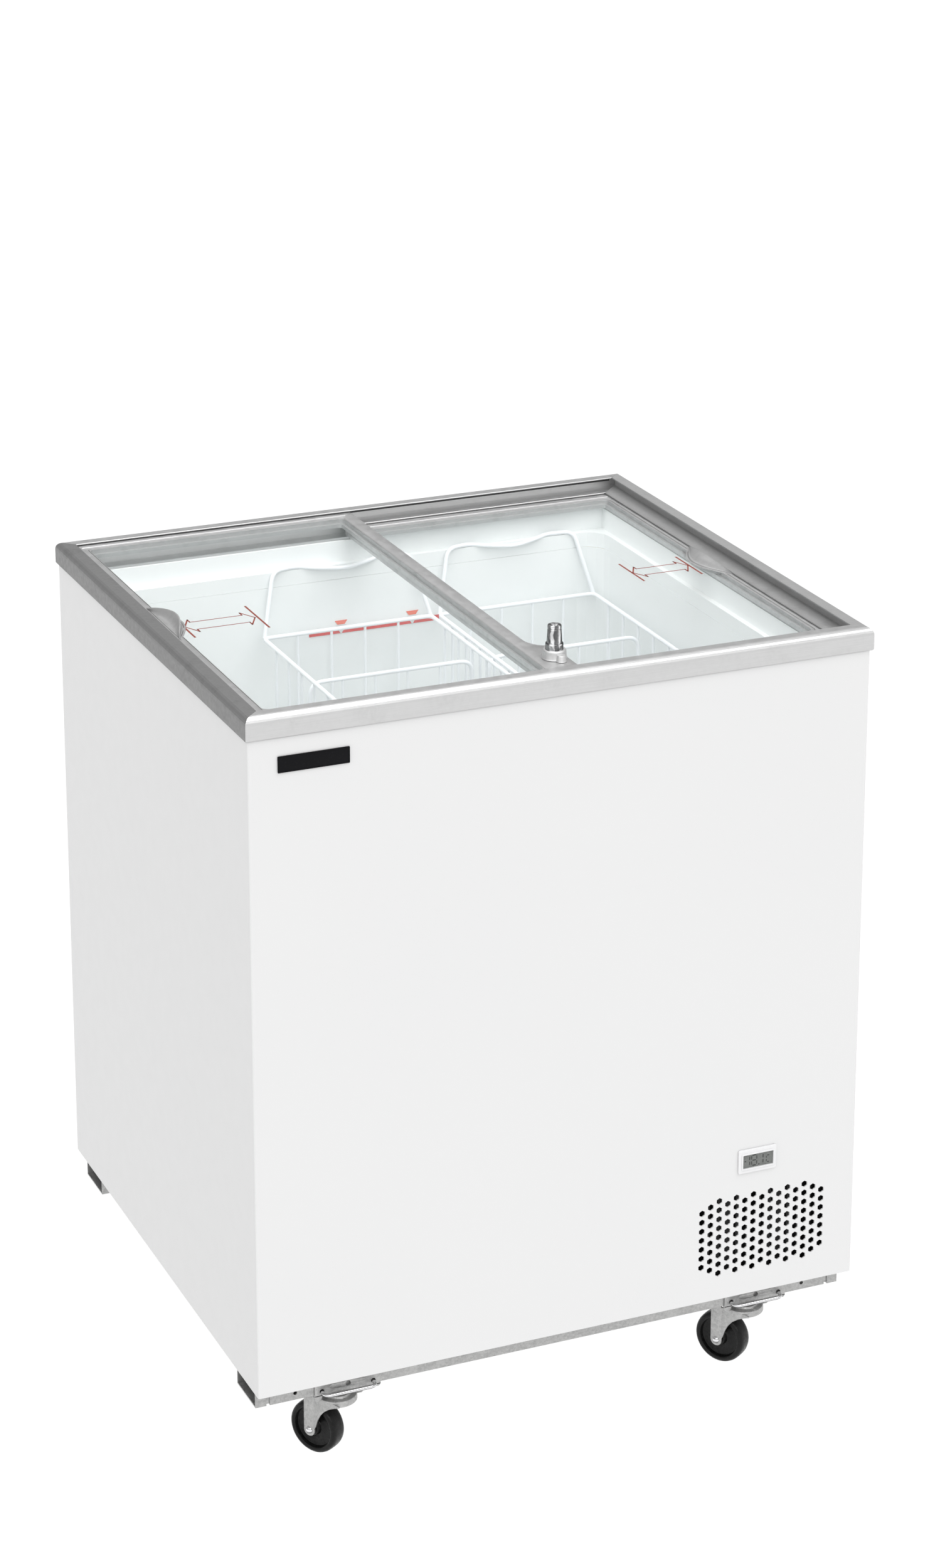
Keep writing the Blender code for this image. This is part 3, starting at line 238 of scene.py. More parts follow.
def make_chrome(name, centre=None):
    """Bright plating with painted reflections. Round a lock's axis it carries dark bands painted as the
    reflection of a dim room; elsewhere it is painted dark where it faces down and grey where it faces partly
    up.
    """
    chrome = Finish(name, (0.80, 0.80, 0.81), 0.08, 1.0)
    if centre:
        spot = chrome.add("Mapping", {"Vector": chrome.coords, "Location": (-centre[0], -centre[1], 0)})
        turn = chrome.add("TexGradient", {"Vector": spot.outputs["Vector"]}, gradient_type="RADIAL")
        sway = chrome.noise(0.006, (1, 1, 1), 0.2, 0.8, 1.0)
        half_turn = chrome.product(turn.outputs["Fac"], 2.0)
        swayed = chrome.product(half_turn, chrome.levels(sway, 0, 1, -0.05, 0.05), "ADD")
        # painted reflection: dark and bright bands round the lock's axis
        reflection_bands = chrome.add("ValToRGB", {"Fac": chrome.product(swayed, 1.0, "FRACT")})
        stops = reflection_bands.color_ramp.elements
        for stop, position in zip(stops, (0.0, 1.0)):
            stop.position, stop.color = position, (0.75, 0.75, 0.75, 1)
        for position, level in LOCK_REFLECTION_BANDS:
            stops.new(position).color = (level, level, level, 1)
        chrome.tint(reflection_bands.outputs["Color"], (0.05, 0.05, 0.052), 0.95)
    else:
        # painted reflection: dark where the surface faces down, grey in a band of partly upward faces
        normal = chrome.add("NewGeometry").outputs["Normal"]
        up = chrome.add("SeparateXYZ", {"Vector": normal}).outputs["Z"]
        chrome.tint(chrome.levels(up, -0.05, -0.40), (0.10, 0.10, 0.102), 0.9)
        band = chrome.product(chrome.levels(up, 0.30, 0.42), chrome.levels(up, 0.60, 0.50))
        chrome.tint(band, (0.22, 0.22, 0.22), 0.8)
    chrome.gloss(chrome.noise(0.0015), 0.10)
    return chrome.bump(chrome.noise(0.0022), 0.00002, 0.3)


def make_galvanised():
    """Zinc-coated steel: small crystals, dull patches and a few dark specks."""
    zinc = Finish("galvanised", (0.47, 0.47, 0.465), 0.38, 0.9)
    zinc.tint(zinc.grains(0.0022), (0.30, 0.30, 0.30), 0.5)
    zinc.tint(zinc.noise(0.010, low=0.45, high=0.75), (0.56, 0.56, 0.55), 0.40)
    zinc.tint(zinc.noise(0.0009, low=0.62, high=0.70), (0.16, 0.15, 0.14), 0.55)
    zinc.gloss(zinc.grains(0.0015), 0.22)
    return zinc.bump(zinc.noise(0.0007), 0.00005, 0.5)


def make_black_rubber():
    black = Finish("black_wheel", (0.004, 0.004, 0.004), 0.22, Specular_IOR_Level=0.22)
    black.tint(black.noise(0.004, low=0.5, high=0.8), (0.020, 0.020, 0.020), 0.30)
    black.gloss(black.noise(0.003), 0.25)
    return black.bump(black.noise(0.0008), 0.00004, 0.4)


def make_black_plate():
    black = Finish("black_plate", (0.004, 0.004, 0.005), 0.30, Specular_IOR_Level=0.10)
    black.tint(black.noise(0.002, low=0.6, high=0.8), (0.02, 0.02, 0.022), 0.4)
    black.gloss(black.noise(0.004), 0.10)
    return black.bump(black.noise(0.001), 0.00002, 0.3)


# Black paint, also used for the black strips painted as shadow in the rear track's gaps
def make_black_paint():
    paint = Finish("black_paint", (0.028, 0.028, 0.029), 0.42)
    paint.tint(paint.noise(0.02, low=0.5, high=0.75), (0.06, 0.06, 0.06), 0.5)
    paint.gloss(paint.noise(0.006), 0.15)
    return paint.bump(paint.noise(0.0015), 0.00006, 0.5)


def make_white_plastic():
    white = Finish("white_plastic", (0.72, 0.72, 0.725), 0.34)
    white.tint(white.noise(0.006, low=0.4, high=0.7), (0.68, 0.68, 0.69), 0.5)
    white.gloss(white.noise(0.002), 0.08)
    return white.bump(white.noise(0.0006), 0.00002, 0.4)


def make_wire_white():
    wire = Finish("wire_coating", (0.93, 0.955, 0.98), 0.30)
    wire.tint(wire.noise(0.008, low=0.45, high=0.75), (0.90, 0.925, 0.93), 0.5)
    wire.gloss(wire.noise(0.003), 0.12)
    return wire.bump(wire.noise(0.0012), 0.00005, 0.5)


def make_lcd():
    lcd = Finish("lcd", srgb(112, 114, 112), 0.22)
    lcd.tint(lcd.noise(0.004, low=0.3, high=0.7), srgb(92, 95, 92), 0.6)
    return lcd.gloss(lcd.noise(0.002), 0.08)


def make_foam():
    foam = Finish("foam", (0.78, 0.68, 0.44), 0.9)
    foam.tint(foam.grains(0.0015), (0.66, 0.55, 0.32), 0.5)
    return foam.bump(foam.noise(0.002), 0.0004, 0.6)


def make_copper():
    copper = Finish("copper", (0.72, 0.38, 0.24), 0.30, 1.0)
    copper.tint(copper.noise(0.006, low=0.45, high=0.75), (0.36, 0.17, 0.10), 0.6)
    return copper.gloss(copper.noise(0.003), 0.2)


def make_print(name, colour):
    ink = Finish(name, colour, 0.5)
    ink.tint(ink.noise(0.0015, low=0.55, high=0.8), tuple(value * 1.6 + 0.02 for value in colour), 0.5)
    return ink.gloss(ink.noise(0.002), 0.1)


FINISHES = {
    "enamel": make_enamel(),
    "liner": make_liner_white(),
    "handle": make_handle_grey(),
    # One anodised metal for all four rims: the side rims get darker base colours as painted shade, the left
    # darker than the right
    "rim_x": make_rim_metal("rim_metal_x", (60, 1, 1), (0.62, 0.62, 0.62), 0.08),
    "rim_left": make_rim_metal("rim_metal_left_painted_shade", (1, 60, 1), (0.20, 0.20, 0.20), 0.26, 0.45),
    "rim_right": make_rim_metal("rim_metal_right_painted_shade", (1, 60, 1), (0.38, 0.38, 0.38), 0.20, 0.40),
    "lid": make_lid_grey("lid_grey", (0.52, 0.52, 0.52)),
    "glass": make_glass(),
    "chrome": make_chrome("chrome"),
    "lock": make_chrome("lock_chrome_painted_reflection", LOCK),
    "boss": make_lid_grey("boss_grey", (0.66, 0.66, 0.66)),
    # near-white metal for the painted highlights along the rear track's lips
    "edge": make_lid_grey("painted_highlight_edge", (0.92, 0.92, 0.92)),
    "galvanised": make_galvanised(),
    "wheel": make_black_rubber(),
    "black_plate": make_black_plate(),
    "black_paint": make_black_paint(),
    "white_plastic": make_white_plastic(),
    "wire": make_wire_white(),
    "lcd": make_lcd(),
    "foam": make_foam(),
    "copper": make_copper(),
    "arrow": make_print("arrow_print", srgb(132, 62, 50)),
    "red": make_print("load_line_red", srgb(214, 42, 40)),
    "orange": make_print("load_mark_orange", srgb(236, 110, 84)),
    "digit": make_print("lcd_digit", (0.035, 0.037, 0.035)),
}

# CAD nodes that stay as they are: node, finish
KEPT = {
    "outer_casing": "enamel", "rear_panel": "enamel", "base_pan": "galvanised", "insulation_foam": "foam",
    "inner_liner": "liner", "liner_collar": "liner", "evaporator_coil": "copper",
    "rim_front": "rim_x", "rim_rear": "rim_x", "rim_left": "rim_left", "rim_right": "rim_right",
    "left_lid_glass": "glass", "right_lid_glass": "glass",
    "lock_rotor": "chrome", "rear_channel": "galvanised", "front_channel": "galvanised",
    "compressor": "black_paint", "compressor_terminal_box": "black_paint", "condenser": "black_paint",
    "fan_motor": "black_paint", "fan_blade": "white_plastic", "filter_drier": "copper",
    "discharge_line": "copper", "rear_grille": "galvanised", "thermostat_body": "white_plastic",
    "thermostat_knob": "black_plate", "mains_gland": "black_plate",
}
for node, finish in KEPT.items():
    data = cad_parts[node].data
    for index in range(len(data.materials)):
        data.materials[index] = FINISHES[finish].material


# ---------------------------------------------------------------- building tools


def place(data, name="part"):
    obj = bpy.data.objects.new(name, data)
    bpy.context.collection.objects.link(obj)
    return obj


def baked(obj):
    """Mesh of an object with its modifiers applied. The object goes."""
    bpy.context.view_layer.update()
    mesh = bpy.data.meshes.new_from_object(obj.evaluated_get(bpy.context.evaluated_depsgraph_get()))
    bpy.data.objects.remove(obj)
    return mesh


def carve(mesh, *cutters, bevel=0.0, segments=2):
    """Mesh with other meshes cut out of it, its sharp edges then rounded by bevel."""
    obj = place(mesh)
    others = [place(cutter, "cutter") for cutter in cutters]
    for other in others:
        modifier = obj.modifiers.new("cut", "BOOLEAN")
        modifier.object, modifier.operation, modifier.solver = other, "DIFFERENCE", "EXACT"
    if bevel:
        modifier = obj.modifiers.new("edges", "BEVEL")
        modifier.width, modifier.segments = bevel, segments
        modifier.limit_method, modifier.angle_limit = "ANGLE", radians(40)
    mesh = baked(obj)
    for other in others:
        bpy.data.objects.remove(other)
    return mesh


def solid(outlines, low, high, axis="Z", bevel=0.0, segments=2):
    """Closed plate between two levels of an axis; outlines after the first are holes."""
    curve = bpy.data.curves.new("outline", "CURVE")
    curve.dimensions, curve.fill_mode = "2D", "BOTH"
    curve.extrude = (high - low) / 2
    for points in outlines:
        spline = curve.splines.new("POLY")
        spline.points.add(len(points) - 1)
        for point, (u, v) in zip(spline.points, points):
            point.co = (u, v, 0, 1)
        spline.use_cyclic_u = True
    mesh = baked(place(curve))
    middle = (low + high) / 2
    for vertex in mesh.vertices:
        u, v, w = vertex.co
        w += middle
        vertex.co = {"X": (w, u, v), "Y": (u, w, v), "Z": (u, v, w)}[axis]
    bm = bmesh.new()
    bm.from_mesh(mesh)
    bmesh.ops.remove_doubles(bm, verts=bm.verts, dist=1e-6)
    bmesh.ops.dissolve_limit(bm, angle_limit=0.001, verts=bm.verts, edges=bm.edges)
    bmesh.ops.recalc_face_normals(bm, faces=bm.faces)
    bm.to_mesh(mesh)
    bm.free()
    return carve(mesh, bevel=bevel, segments=segments) if bevel else mesh


def block(low, high, bevel=0.0, segments=2):
    (x0, y0, z0), (x1, y1, z1) = low, high
    return solid([[(x0, y0), (x1, y0), (x1, y1), (x0, y1)]], z0, z1, "Z", bevel, segments)


def tube(points, radius, cyclic=False, resolution=4):
    curve = bpy.data.curves.new("wire", "CURVE")
    curve.dimensions = "3D"
    curve.bevel_depth, curve.bevel_resolution, curve.use_fill_caps = radius, resolution, True
    spline = curve.splines.new("POLY")
    spline.points.add(len(points) - 1)
    for point, co in zip(spline.points, points):
        point.co = (*co, 1)
    spline.use_cyclic_u = cyclic
    return baked(place(curve))


def loft(rings, caps=True):
    """Skin through closed rings of equally many points."""
    bm = bmesh.new()
    loops = [[bm.verts.new(point) for point in ring] for ring in rings]
    count = len(rings[0])
    for first, second in zip(loops, loops[1:]):
        for i in range(count):
            j = (i + 1) % count
            bm.faces.new((first[i], first[j], second[j], second[i]))
    if caps:
        bm.faces.new(loops[0][::-1])
        bm.faces.new(loops[-1])
    bmesh.ops.remove_doubles(bm, verts=bm.verts, dist=1e-6)
    bmesh.ops.recalc_face_normals(bm, faces=bm.faces)
    mesh = bpy.data.meshes.new("loft")
    bm.to_mesh(mesh)
    bm.free()
    return mesh


def lathe(profile, centre=(0, 0, 0), steps=48):
    """Profile of (radius, height) turned about a vertical axis. Give a closed or an axis-to-axis one."""
    x, y, z = centre
    angles = [2 * pi * i / steps for i in range(steps)]
    return loft([[(x + radius * cos(a), y + radius * sin(a), z + height) for a in angles]
                 for radius, height in profile], caps=False)


def both_sides(half):
    """Lathe profile of one side, then its mirror image, which starts from the middle plane."""
    return half + [(radius, -width) for radius, width in reversed(half[:-1])]


def rounded(x0, x1, y0, y1, radius, steps=6):
    """Rectangle with round corners, counter-clockwise."""
    points = []
    for corner, (cx, cy) in enumerate(((x1 - radius, y0 + radius), (x1 - radius, y1 - radius),
                                       (x0 + radius, y1 - radius), (x0 + radius, y0 + radius))):
        for step in range(steps + 1):
            angle = pi / 2 * (corner - 1 + step / steps)
            points.append((cx + radius * cos(angle), cy + radius * sin(angle)))
    return points


def grown(opening, margin, radius, steps=6):
    x0, x1, y0, y1 = opening
    return rounded(x0 - margin, x1 + margin, y0 - margin, y1 + margin, radius, steps)


def circle(x, y, radius, steps=24):
    angles = [2 * pi * i / steps for i in range(steps)]
    return [(x + radius * cos(a), y + radius * sin(a)) for a in angles]


def filleted(points, radius, steps=5, cyclic=False):
    """Polyline in space with its corners rounded."""
    points = [Vector(point) for point in points]
    count = len(points)
    result = []
    for index, corner in enumerate(points):
        if not cyclic and index in (0, count - 1):
            result.append(corner)
            continue
        before = points[index - 1] - corner
        after = points[(index + 1) % count] - corner
        reach = min(radius, before.length * 0.45, after.length * 0.45)
        start, end = corner + before.normalized() * reach, corner + after.normalized() * reach
        for step in range(steps + 1):
            t = step / steps
            result.append(start * (1 - t) ** 2 + corner * 2 * t * (1 - t) + end * t ** 2)
    return [tuple(point) for point in result]


class Piece:
    """Gathers meshes into one named piece."""

    def __init__(self):
        self.bm = bmesh.new()
        self.finishes = []

    def add(self, mesh, finish=None, matrix=None):
        if matrix is not None:
            mesh.transform(matrix)
        before = len(self.bm.faces)
        self.bm.from_mesh(mesh)
        bpy.data.meshes.remove(mesh)
        if finish:
            if finish not in self.finishes:
                self.finishes.append(finish)
            self.bm.faces.ensure_lookup_table()
            for face in self.bm.faces[before:]:
                face.material_index = self.finishes.index(finish)
        return self

    def done(self, name, body, finish=None, replaces=(), angle=38):
        mesh = bpy.data.meshes.new(name)
        bmesh.ops.recalc_face_normals(self.bm, faces=self.bm.faces)
        self.bm.to_mesh(mesh)
        self.bm.free()
        for key in self.finishes or [finish]:
            mesh.materials.append(FINISHES[key].material)
        for polygon in mesh.polygons:
            polygon.use_smooth = True
        mesh.set_sharp_from_angle(angle=radians(angle))
        obj = place(mesh, name)
        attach(obj, body)
        if replaces:
            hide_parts(*replaces)
        return obj


# ---------------------------------------------------------------- stage


def make_stage():
    bpy.context.scene.view_settings.view_transform = "Standard"
    camera = place(bpy.data.cameras.new("camera"), "camera")
    camera.location = (-1.559, -3.682, 2.200)
    camera.rotation_euler = (radians(90 - 16.57), 0, radians(-23.17))
    camera.data.sensor_width, camera.data.lens = 36, 86.69
    camera.data.shift_y = -0.2
    camera.data.clip_end = 200
    bpy.context.scene.camera = camera

    reach = 60
    corners = [(-reach, -reach, 0), (reach, -reach, 0), (reach, reach, 0), (-reach, reach, 0)]
    mesh = bpy.data.meshes.new("floor")
    mesh.from_pydata(corners, [], [(0, 1, 2, 3)])
    floor = place(mesh, "floor")
    paint = Finish("floor_paint", (0.06, 0.06, 0.06), 0.7)
    paint.tint(paint.noise(0.6), (0.05, 0.05, 0.05), 0.4)
    paint.shader.inputs["Emission Color"].default_value = (1, 1, 1, 1)
    paint.shader.inputs["Emission Strength"].default_value = 0.98
    mesh.materials.append(paint.material)

    # The studio is bright in front and dimmer behind, so that level metal looks darker than upright metal
    world = bpy.data.worlds.new("studio")
    bpy.context.scene.world = world
    world.use_nodes = True
    nodes, links = world.node_tree.nodes, world.node_tree.links
    direction = nodes.new("ShaderNodeTexCoord").outputs["Generated"]
    split = nodes.new("ShaderNodeSeparateXYZ")
    links.new(direction, split.inputs[0])
    fade = nodes.new("ShaderNodeMapRange")
    links.new(split.outputs["Y"], fade.inputs["Value"])
    for key, value in (("From Min", -0.25), ("From Max", 0.40), ("To Min", 0.85), ("To Max", 0.42)):
        fade.inputs[key].default_value = value
    background = nodes["Background"]
    background.inputs["Color"].default_value = (1, 1, 1, 1)
    links.new(fade.outputs["Result"], background.inputs["Strength"])
    for name, azimuth, elevation, spread, strength in SUNS:
        light = place(bpy.data.lights.new(name, "SUN"), name)
        light.data.energy, light.data.angle = strength, radians(spread)
        a, e = radians(azimuth), radians(elevation)
        towards = Vector((sin(a) * cos(e), -cos(a) * cos(e), sin(e)))
        light.rotation_mode = "QUATERNION"
        light.rotation_quaternion = towards.to_track_quat("Z", "Y")
    overhead = place(bpy.data.lights.new("overhead", "AREA"), "overhead")
    overhead.data.size, overhead.data.energy = 0.6, 7
    overhead.location = (0.0, -0.15, 2.4)


# ---------------------------------------------------------------- lids


def left_outline():
    """Left lid's outer edge, wider at its front right corner, under the lock."""
    x0, x1, y = LEFT_OUTER
    keep = [p for p in rounded(x0, x1, -y, y, 0.006, 4) if not (p[0] > -0.02 and p[1] < 0)]
    front = [(LOCK_PLATE_X - 0.003, -y), (LOCK_PLATE_X, -y + 0.003)]
    reach, steps, fillet = LOCK_PLATE_X - x1, 12, []
    for step in range(steps + 1):
        angle = pi / 2 * step / steps
        fillet.append((LOCK_PLATE_X - reach * sin(angle), LOCK_PLATE_Y + LOCK_FILLET * (1 - cos(angle))))
    return keep + front + fillet


def crescent(chord_x, side, half, bulge, steps=24):
    """Leaf's edge over a chord that lies along Y, from its front tip to its rear tip."""
    points = []
    for step in range(steps + 1):
        t = 2 * step / steps - 1
        points.append((chord_x + side * bulge * (1 - t * t) ** 1.3, t * half))
    return points


def trimmed(points, edge, side):
    """Outline cut off at a line along Y."""
    return [(edge if (x - edge) * side > 0 else x, y) for x, y in points]


def make_lid_frame(name, outline, opening, z0, z1, leaf):
    """Frame with a rebate for the pane, a raised lip round the opening and a fine gutter outside it."""
    chord_x, side, half, bulge = leaf
    lip, groove = 0.0036, 0.0006
    x0, x1, _, y1 = opening
    ledge = grown(opening, -0.004, 0.005)
    hole = grown(opening, 0, 0.0075)
    edge = x1 if side > 0 else x0  # the rail beside the other lid is flat almost up to the glass
    inner_lip = trimmed(grown(opening, lip, 0.0105), edge + side * 0.0008, side)
    gutter = trimmed(grown(opening, lip + groove, 0.011), edge + side * 0.0012, side)
    if side > 0:  # so is the left lid's other rail
        inner_lip, gutter = trimmed(inner_lip, x0 - 0.0008, -1), trimmed(gutter, x0 - 0.0012, -1)
    piece = Piece()
    piece.add(solid([outline, ledge], z0, z0 + 0.0043))
    piece.add(solid([outline, hole], z0 + 0.004, z1 - 0.0013))
    piece.add(solid([outline, gutter], z1 - 0.0016, z1 - 0.0002, bevel=0.0003))
    piece.add(solid([inner_lip, hole], z1 - 0.0016, z1, bevel=0.0004))
    across = y1 + 0.0095
    piece.add(tube([(x0 - 0.006, across, z1 - 0.0007), (x1 + 0.006, across, z1 - 0.0007)], 0.0013))
    outer_arc = crescent(chord_x, side, half + 0.0040, bulge + 0.0027)
    inner_arc = crescent(chord_x, side, half + 0.0008, bulge + 0.0004)
    piece.add(solid([outer_arc + inner_arc[::-1]], z1 - 0.0016, z1 + 0.0003, bevel=0.0004))
    return piece.done(name + "_profile", name.replace("_frame", ""), "lid", [name])


# A scoop's wall from the rail to the crest: shares of the wall's run, of its height and of the hollow's depth
BOWL = ((0.08, 0.0, 0.1), (0.35, 0.03, 0.3), (0.62, 0.18, 0.2), (0.82, 0.46, 0.0), (0.94, 0.80, 0.0))
POCKET = ((0.15, 0.0, 0.0), (0.30, 0.0, 1.0), (0.80, 0.0, 1.0), (1.0, 0.50, 0.0), (1.04, 0.93, 0.0))


def make_handle(name, z_base, z1, leaf, rise, crest_shift, wall_shape):
    """Scoop: a hollow beside the rail, a wall up to a thin crest, and a slope down to the glass."""
    chord_x, side, half, bulge = leaf
    rings = []
    steps, hollow = 48, 0.0020
    for step, (edge_x, y) in enumerate(crescent(chord_x, side, half, bulge, steps)):
        v = -1 + 2 * step / steps
        reach = abs(edge_x - chord_x)
        height = rise * max(0.0, 1 - v * v) ** 0.8
        part = height / rise
        crest = reach * (0.52 + crest_shift * part)
        wall = crest - 0.0008 - 0.0010 * part
        band = reach - 0.0026 * part - 0.0002  # start of the flat lip beside the glass
        wide = band - crest
        section = [(0.0, z_base - z1), (0.0, 0.0004)]
        section += [(wall * run, height * up - hollow * part * down) for run, up, down in wall_shape]
        section += [
            (wall + 0.0006, height + 0.0003),
            (crest, height + 0.0005), (crest + wide * 0.06, height * 0.97 + 0.0002),
            (crest + wide * 0.35, height * 0.80), (crest + wide * 0.65, height * 0.50),
            (band - wide * 0.12, height * 0.22), (band, height * 0.12),
            (band + (reach - band) * 0.25, height * 0.05 + 0.0010), (band + (reach - band) * 0.75, 0.0010),
            (reach, 0.0002), (reach, z_base - z1),
        ]
        rings.append([(chord_x + side * u, y, z1 + w) for u, w in section])
    piece = Piece()
    piece.add(loft(rings))
    body = name.replace("_handle", "")
    return piece.done(name + "_scoop", body, "handle", [name], angle=32)


def stroke(points, width, low, high, cyclic=False):
    """Thin flat line of ink along a polyline in X and Y, one bar for each stretch."""
    bars = []
    count = len(points)
    for index in range(count if cyclic else count - 1):
        start, end = Vector(points[index]), Vector(points[(index + 1) % count])
        along = (end - start).normalized() * width / 2
        across = Vector((-along.y, along.x))
        corners = (start - along - across, end + along - across, end + along + across, start - along + across)
        bars.append(solid([[tuple(corner) for corner in corners]], low, high))
    return bars


def make_arrow(name, body, tips, axis_y, necks, barb, half_shaft, bars, z):
    """Double-headed outline arrow between two end bars, printed on a pane."""
    left, right = tips
    outline = [(left, axis_y), (necks[0], axis_y + barb), (necks[0], axis_y + half_shaft),
               (necks[1], axis_y + half_shaft), (necks[1], axis_y + barb), (right, axis_y),
               (necks[1], axis_y - barb), (necks[1], axis_y - half_shaft),
               (necks[0], axis_y - half_shaft), (necks[0], axis_y - barb)]
    piece = Piece()
    for mesh in stroke(outline, 0.0017, z, z + SKIN, True):
        piece.add(mesh)
    for bar_x, y0, y1 in bars:
        for mesh in stroke([(bar_x, y0), (bar_x, y1)], 0.0023, z, z + SKIN):
            piece.add(mesh)
    return piece.done(name, body, "arrow")


def make_lids():
    make_lid_frame("left_lid_frame", left_outline(), LEFT_OPEN, LEFT_Z0, LEFT_Z1, LEFT_LEAF)
    make_handle("left_lid_handle", LEFT_Z0 + PANE_REST, LEFT_Z1, LEFT_LEAF, 0.0092, 0.30, BOWL)
    x0, x1, y = RIGHT_OUTER
    outline = rounded(x0, x1, -y, y, 0.006, 4)
    make_lid_frame("right_lid_frame", outline, RIGHT_OPEN, RIGHT_Z0, RIGHT_Z1, RIGHT_LEAF)
    make_handle("right_lid_handle", RIGHT_Z0 + PANE_REST, RIGHT_Z1, RIGHT_LEAF, 0.0080, -0.20, POCKET)
    make_arrow("left_arrow", "left_lid", (-0.3185, -0.2380), -0.0165, (-0.3085, -0.2485), 0.0210, 0.0125,
               ((-0.2350, -0.053, 0.023), (-0.3196, -0.053, 0.023)), LEFT_Z1 - PANE_DROP)
    make_arrow("right_arrow", "right_lid", (0.2234, 0.2928), -0.0045, (0.2330, 0.2835), 0.0190, 0.0115,
               ((0.2225, -0.035, 0.030), (0.2940, -0.038, 0.029)), RIGHT_Z1 - PANE_DROP)


def make_track_edges():
    """Painted highlights as bright thin tubes along the edges of the two lips of the rear track, and black
    strips painted as the shadow in the gaps under them.
    """
    reach, radius = 0.3405, 0.0004
    # each lip's last value is the foot of the painted shadow in the gap under it
    lips = ((-reach, 0.3010, 0.8790, 0.8735), (0.0, 0.2845, 0.8665, 0.8605))  # low x, y, top, foot of the gap
    piece = Piece()
    for low_x, lip_y, lip_top, shadow_low in lips:
        y, z = lip_y - 0.0001, lip_top - radius
        # painted highlight along the lip's edge
        piece.add(tube([(low_x, y, z), (reach, y, z)], radius), "edge")
        # black strip painted as the shadow in the gap under the lip
        low, high = (low_x, lip_y + 0.0062, shadow_low), (reach, lip_y + 0.0072, lip_top - 0.0012)
        piece.add(block(low, high), "black_paint")
    piece.done("rear_track_edges", "cabinet")


# ---------------------------------------------------------------- lock


def make_lock():
    """Cast boss with a lug in front, chrome collar, and the plunger that slides in it."""
    base = LEFT_Z1 + 0.0003
    x, y = LOCK
    at = (x, y, 0)
    boss = Piece()
    boss.add(lathe([(0.0098, base), (0.0140, base), (0.0132, base + 0.0014), (0.0126, 0.8846),
                    (0.0124, 0.8855), (0.0118, 0.8863), (0.0110, 0.8866), (0.0098, 0.8866),
                    (0.0098, base)], at, 72))
    boss.add(lathe([(0, base), (0.0060, base), (0.0054, base + 0.0010), (0.0050, base + 0.0056),
                    (0.0043, base + 0.0068), (0, base + 0.0072)], (x + 0.0015, y - 0.0146, 0), 40))
    boss.done("lock_boss_cast", "left_lid", "boss", ["lock_boss"])

    bore, outside, foot = 0.0087, 0.0097, 0.8795
    collar = Piece()
    collar.add(lathe([(bore, foot), (outside, foot), (outside, 0.8916), (0.0096, 0.8928), (0.0092, 0.8934),
                      (0.0089, 0.8934), (bore, 0.8928), (bore, foot)], at, 72))
    collar.done("lock_collar_ring", "left_lid", "lock", ["lock_collar"])

    plunger = Piece()
    plunger.add(lathe([(0, 0.8890), (0.0081, 0.8890), (0.0085, 0.8940), (0.0083, 0.8950), (0.0075, 0.9083),
                       (0.0072, 0.9088), (0.0072, 0.9094), (0.0075, 0.9098), (0.0074, 0.9124),
                       (0.0071, 0.9131), (0.0067, 0.9133), (0.0048, 0.9133), (0.0046, 0.9128),
                       (0, 0.9128)], at, 64))
    plunger.done("lock_plunger_body", "lock_plunger", "lock", ["lock_plunger"], angle=30)


# ---------------------------------------------------------------- front fittings


def make_nameplate():
    (x0, _, z0), (x1, _, z1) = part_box("nameplate")
    plate = rounded(x0, x1, z0, z1, 0.0008, 3)
    piece = Piece()
    piece.add(solid([plate], FACE_Y - 0.0013, FACE_Y, "Y", 0.0003), "black_plate")
    inset, line = 0.0011, 0.0003
    window = (x0, x1, z0, z1)
    outer = grown(window, -inset, 0.0006, 3)
    inner = grown(window, -inset - line, 0.0004, 3)
    piece.add(solid([outer, inner], FACE_Y - 0.0015, FACE_Y - 0.001, "Y"), "black_plate")
    piece.done("nameplate_plain", "cabinet", None, ["nameplate"])


SEGMENTS = {  # corners of each bar of a figure, in units of its width and half height
    "a": ((0, 2), (1, 2)), "b": ((1, 1), (1, 2)), "c": ((1, 0), (1, 1)), "d": ((0, 0), (1, 0)),
    "e": ((0, 0), (0, 1)), "f": ((0, 1), (0, 2)), "g": ((0, 1), (1, 1)),
}
FIGURES = {"-": "g", "1": "bc", "8": "abcdefg", "C": "adef"}


def figure(piece, shape, x, z, width, height, bar, y):
    """One seven-bar figure on the display. Each bar is a slim hexagon with pointed ends."""
    half, gap = bar / 2, bar * 0.62
    for key in FIGURES[shape]:
        (u0, v0), (u1, v1) = SEGMENTS[key]
        ax, az = x + u0 * width, z + v0 * height / 2
        bx, bz = x + u1 * width, z + v1 * height / 2
        if az == bz:
            low, high = ax + gap, bx - gap
            outline = [(low, az), (low + half, az + half), (high - half, az + half), (high, az),
                       (high - half, az - half), (low + half, az - half)]
        else:
            low, high = az + gap, bz - gap
            outline = [(ax, low), (ax + half, low + half), (ax + half, high - half), (ax, high),
                       (ax - half, high - half), (ax - half, low + half)]
        piece.add(solid([outline], y - INK, y, "Y"), "digit")


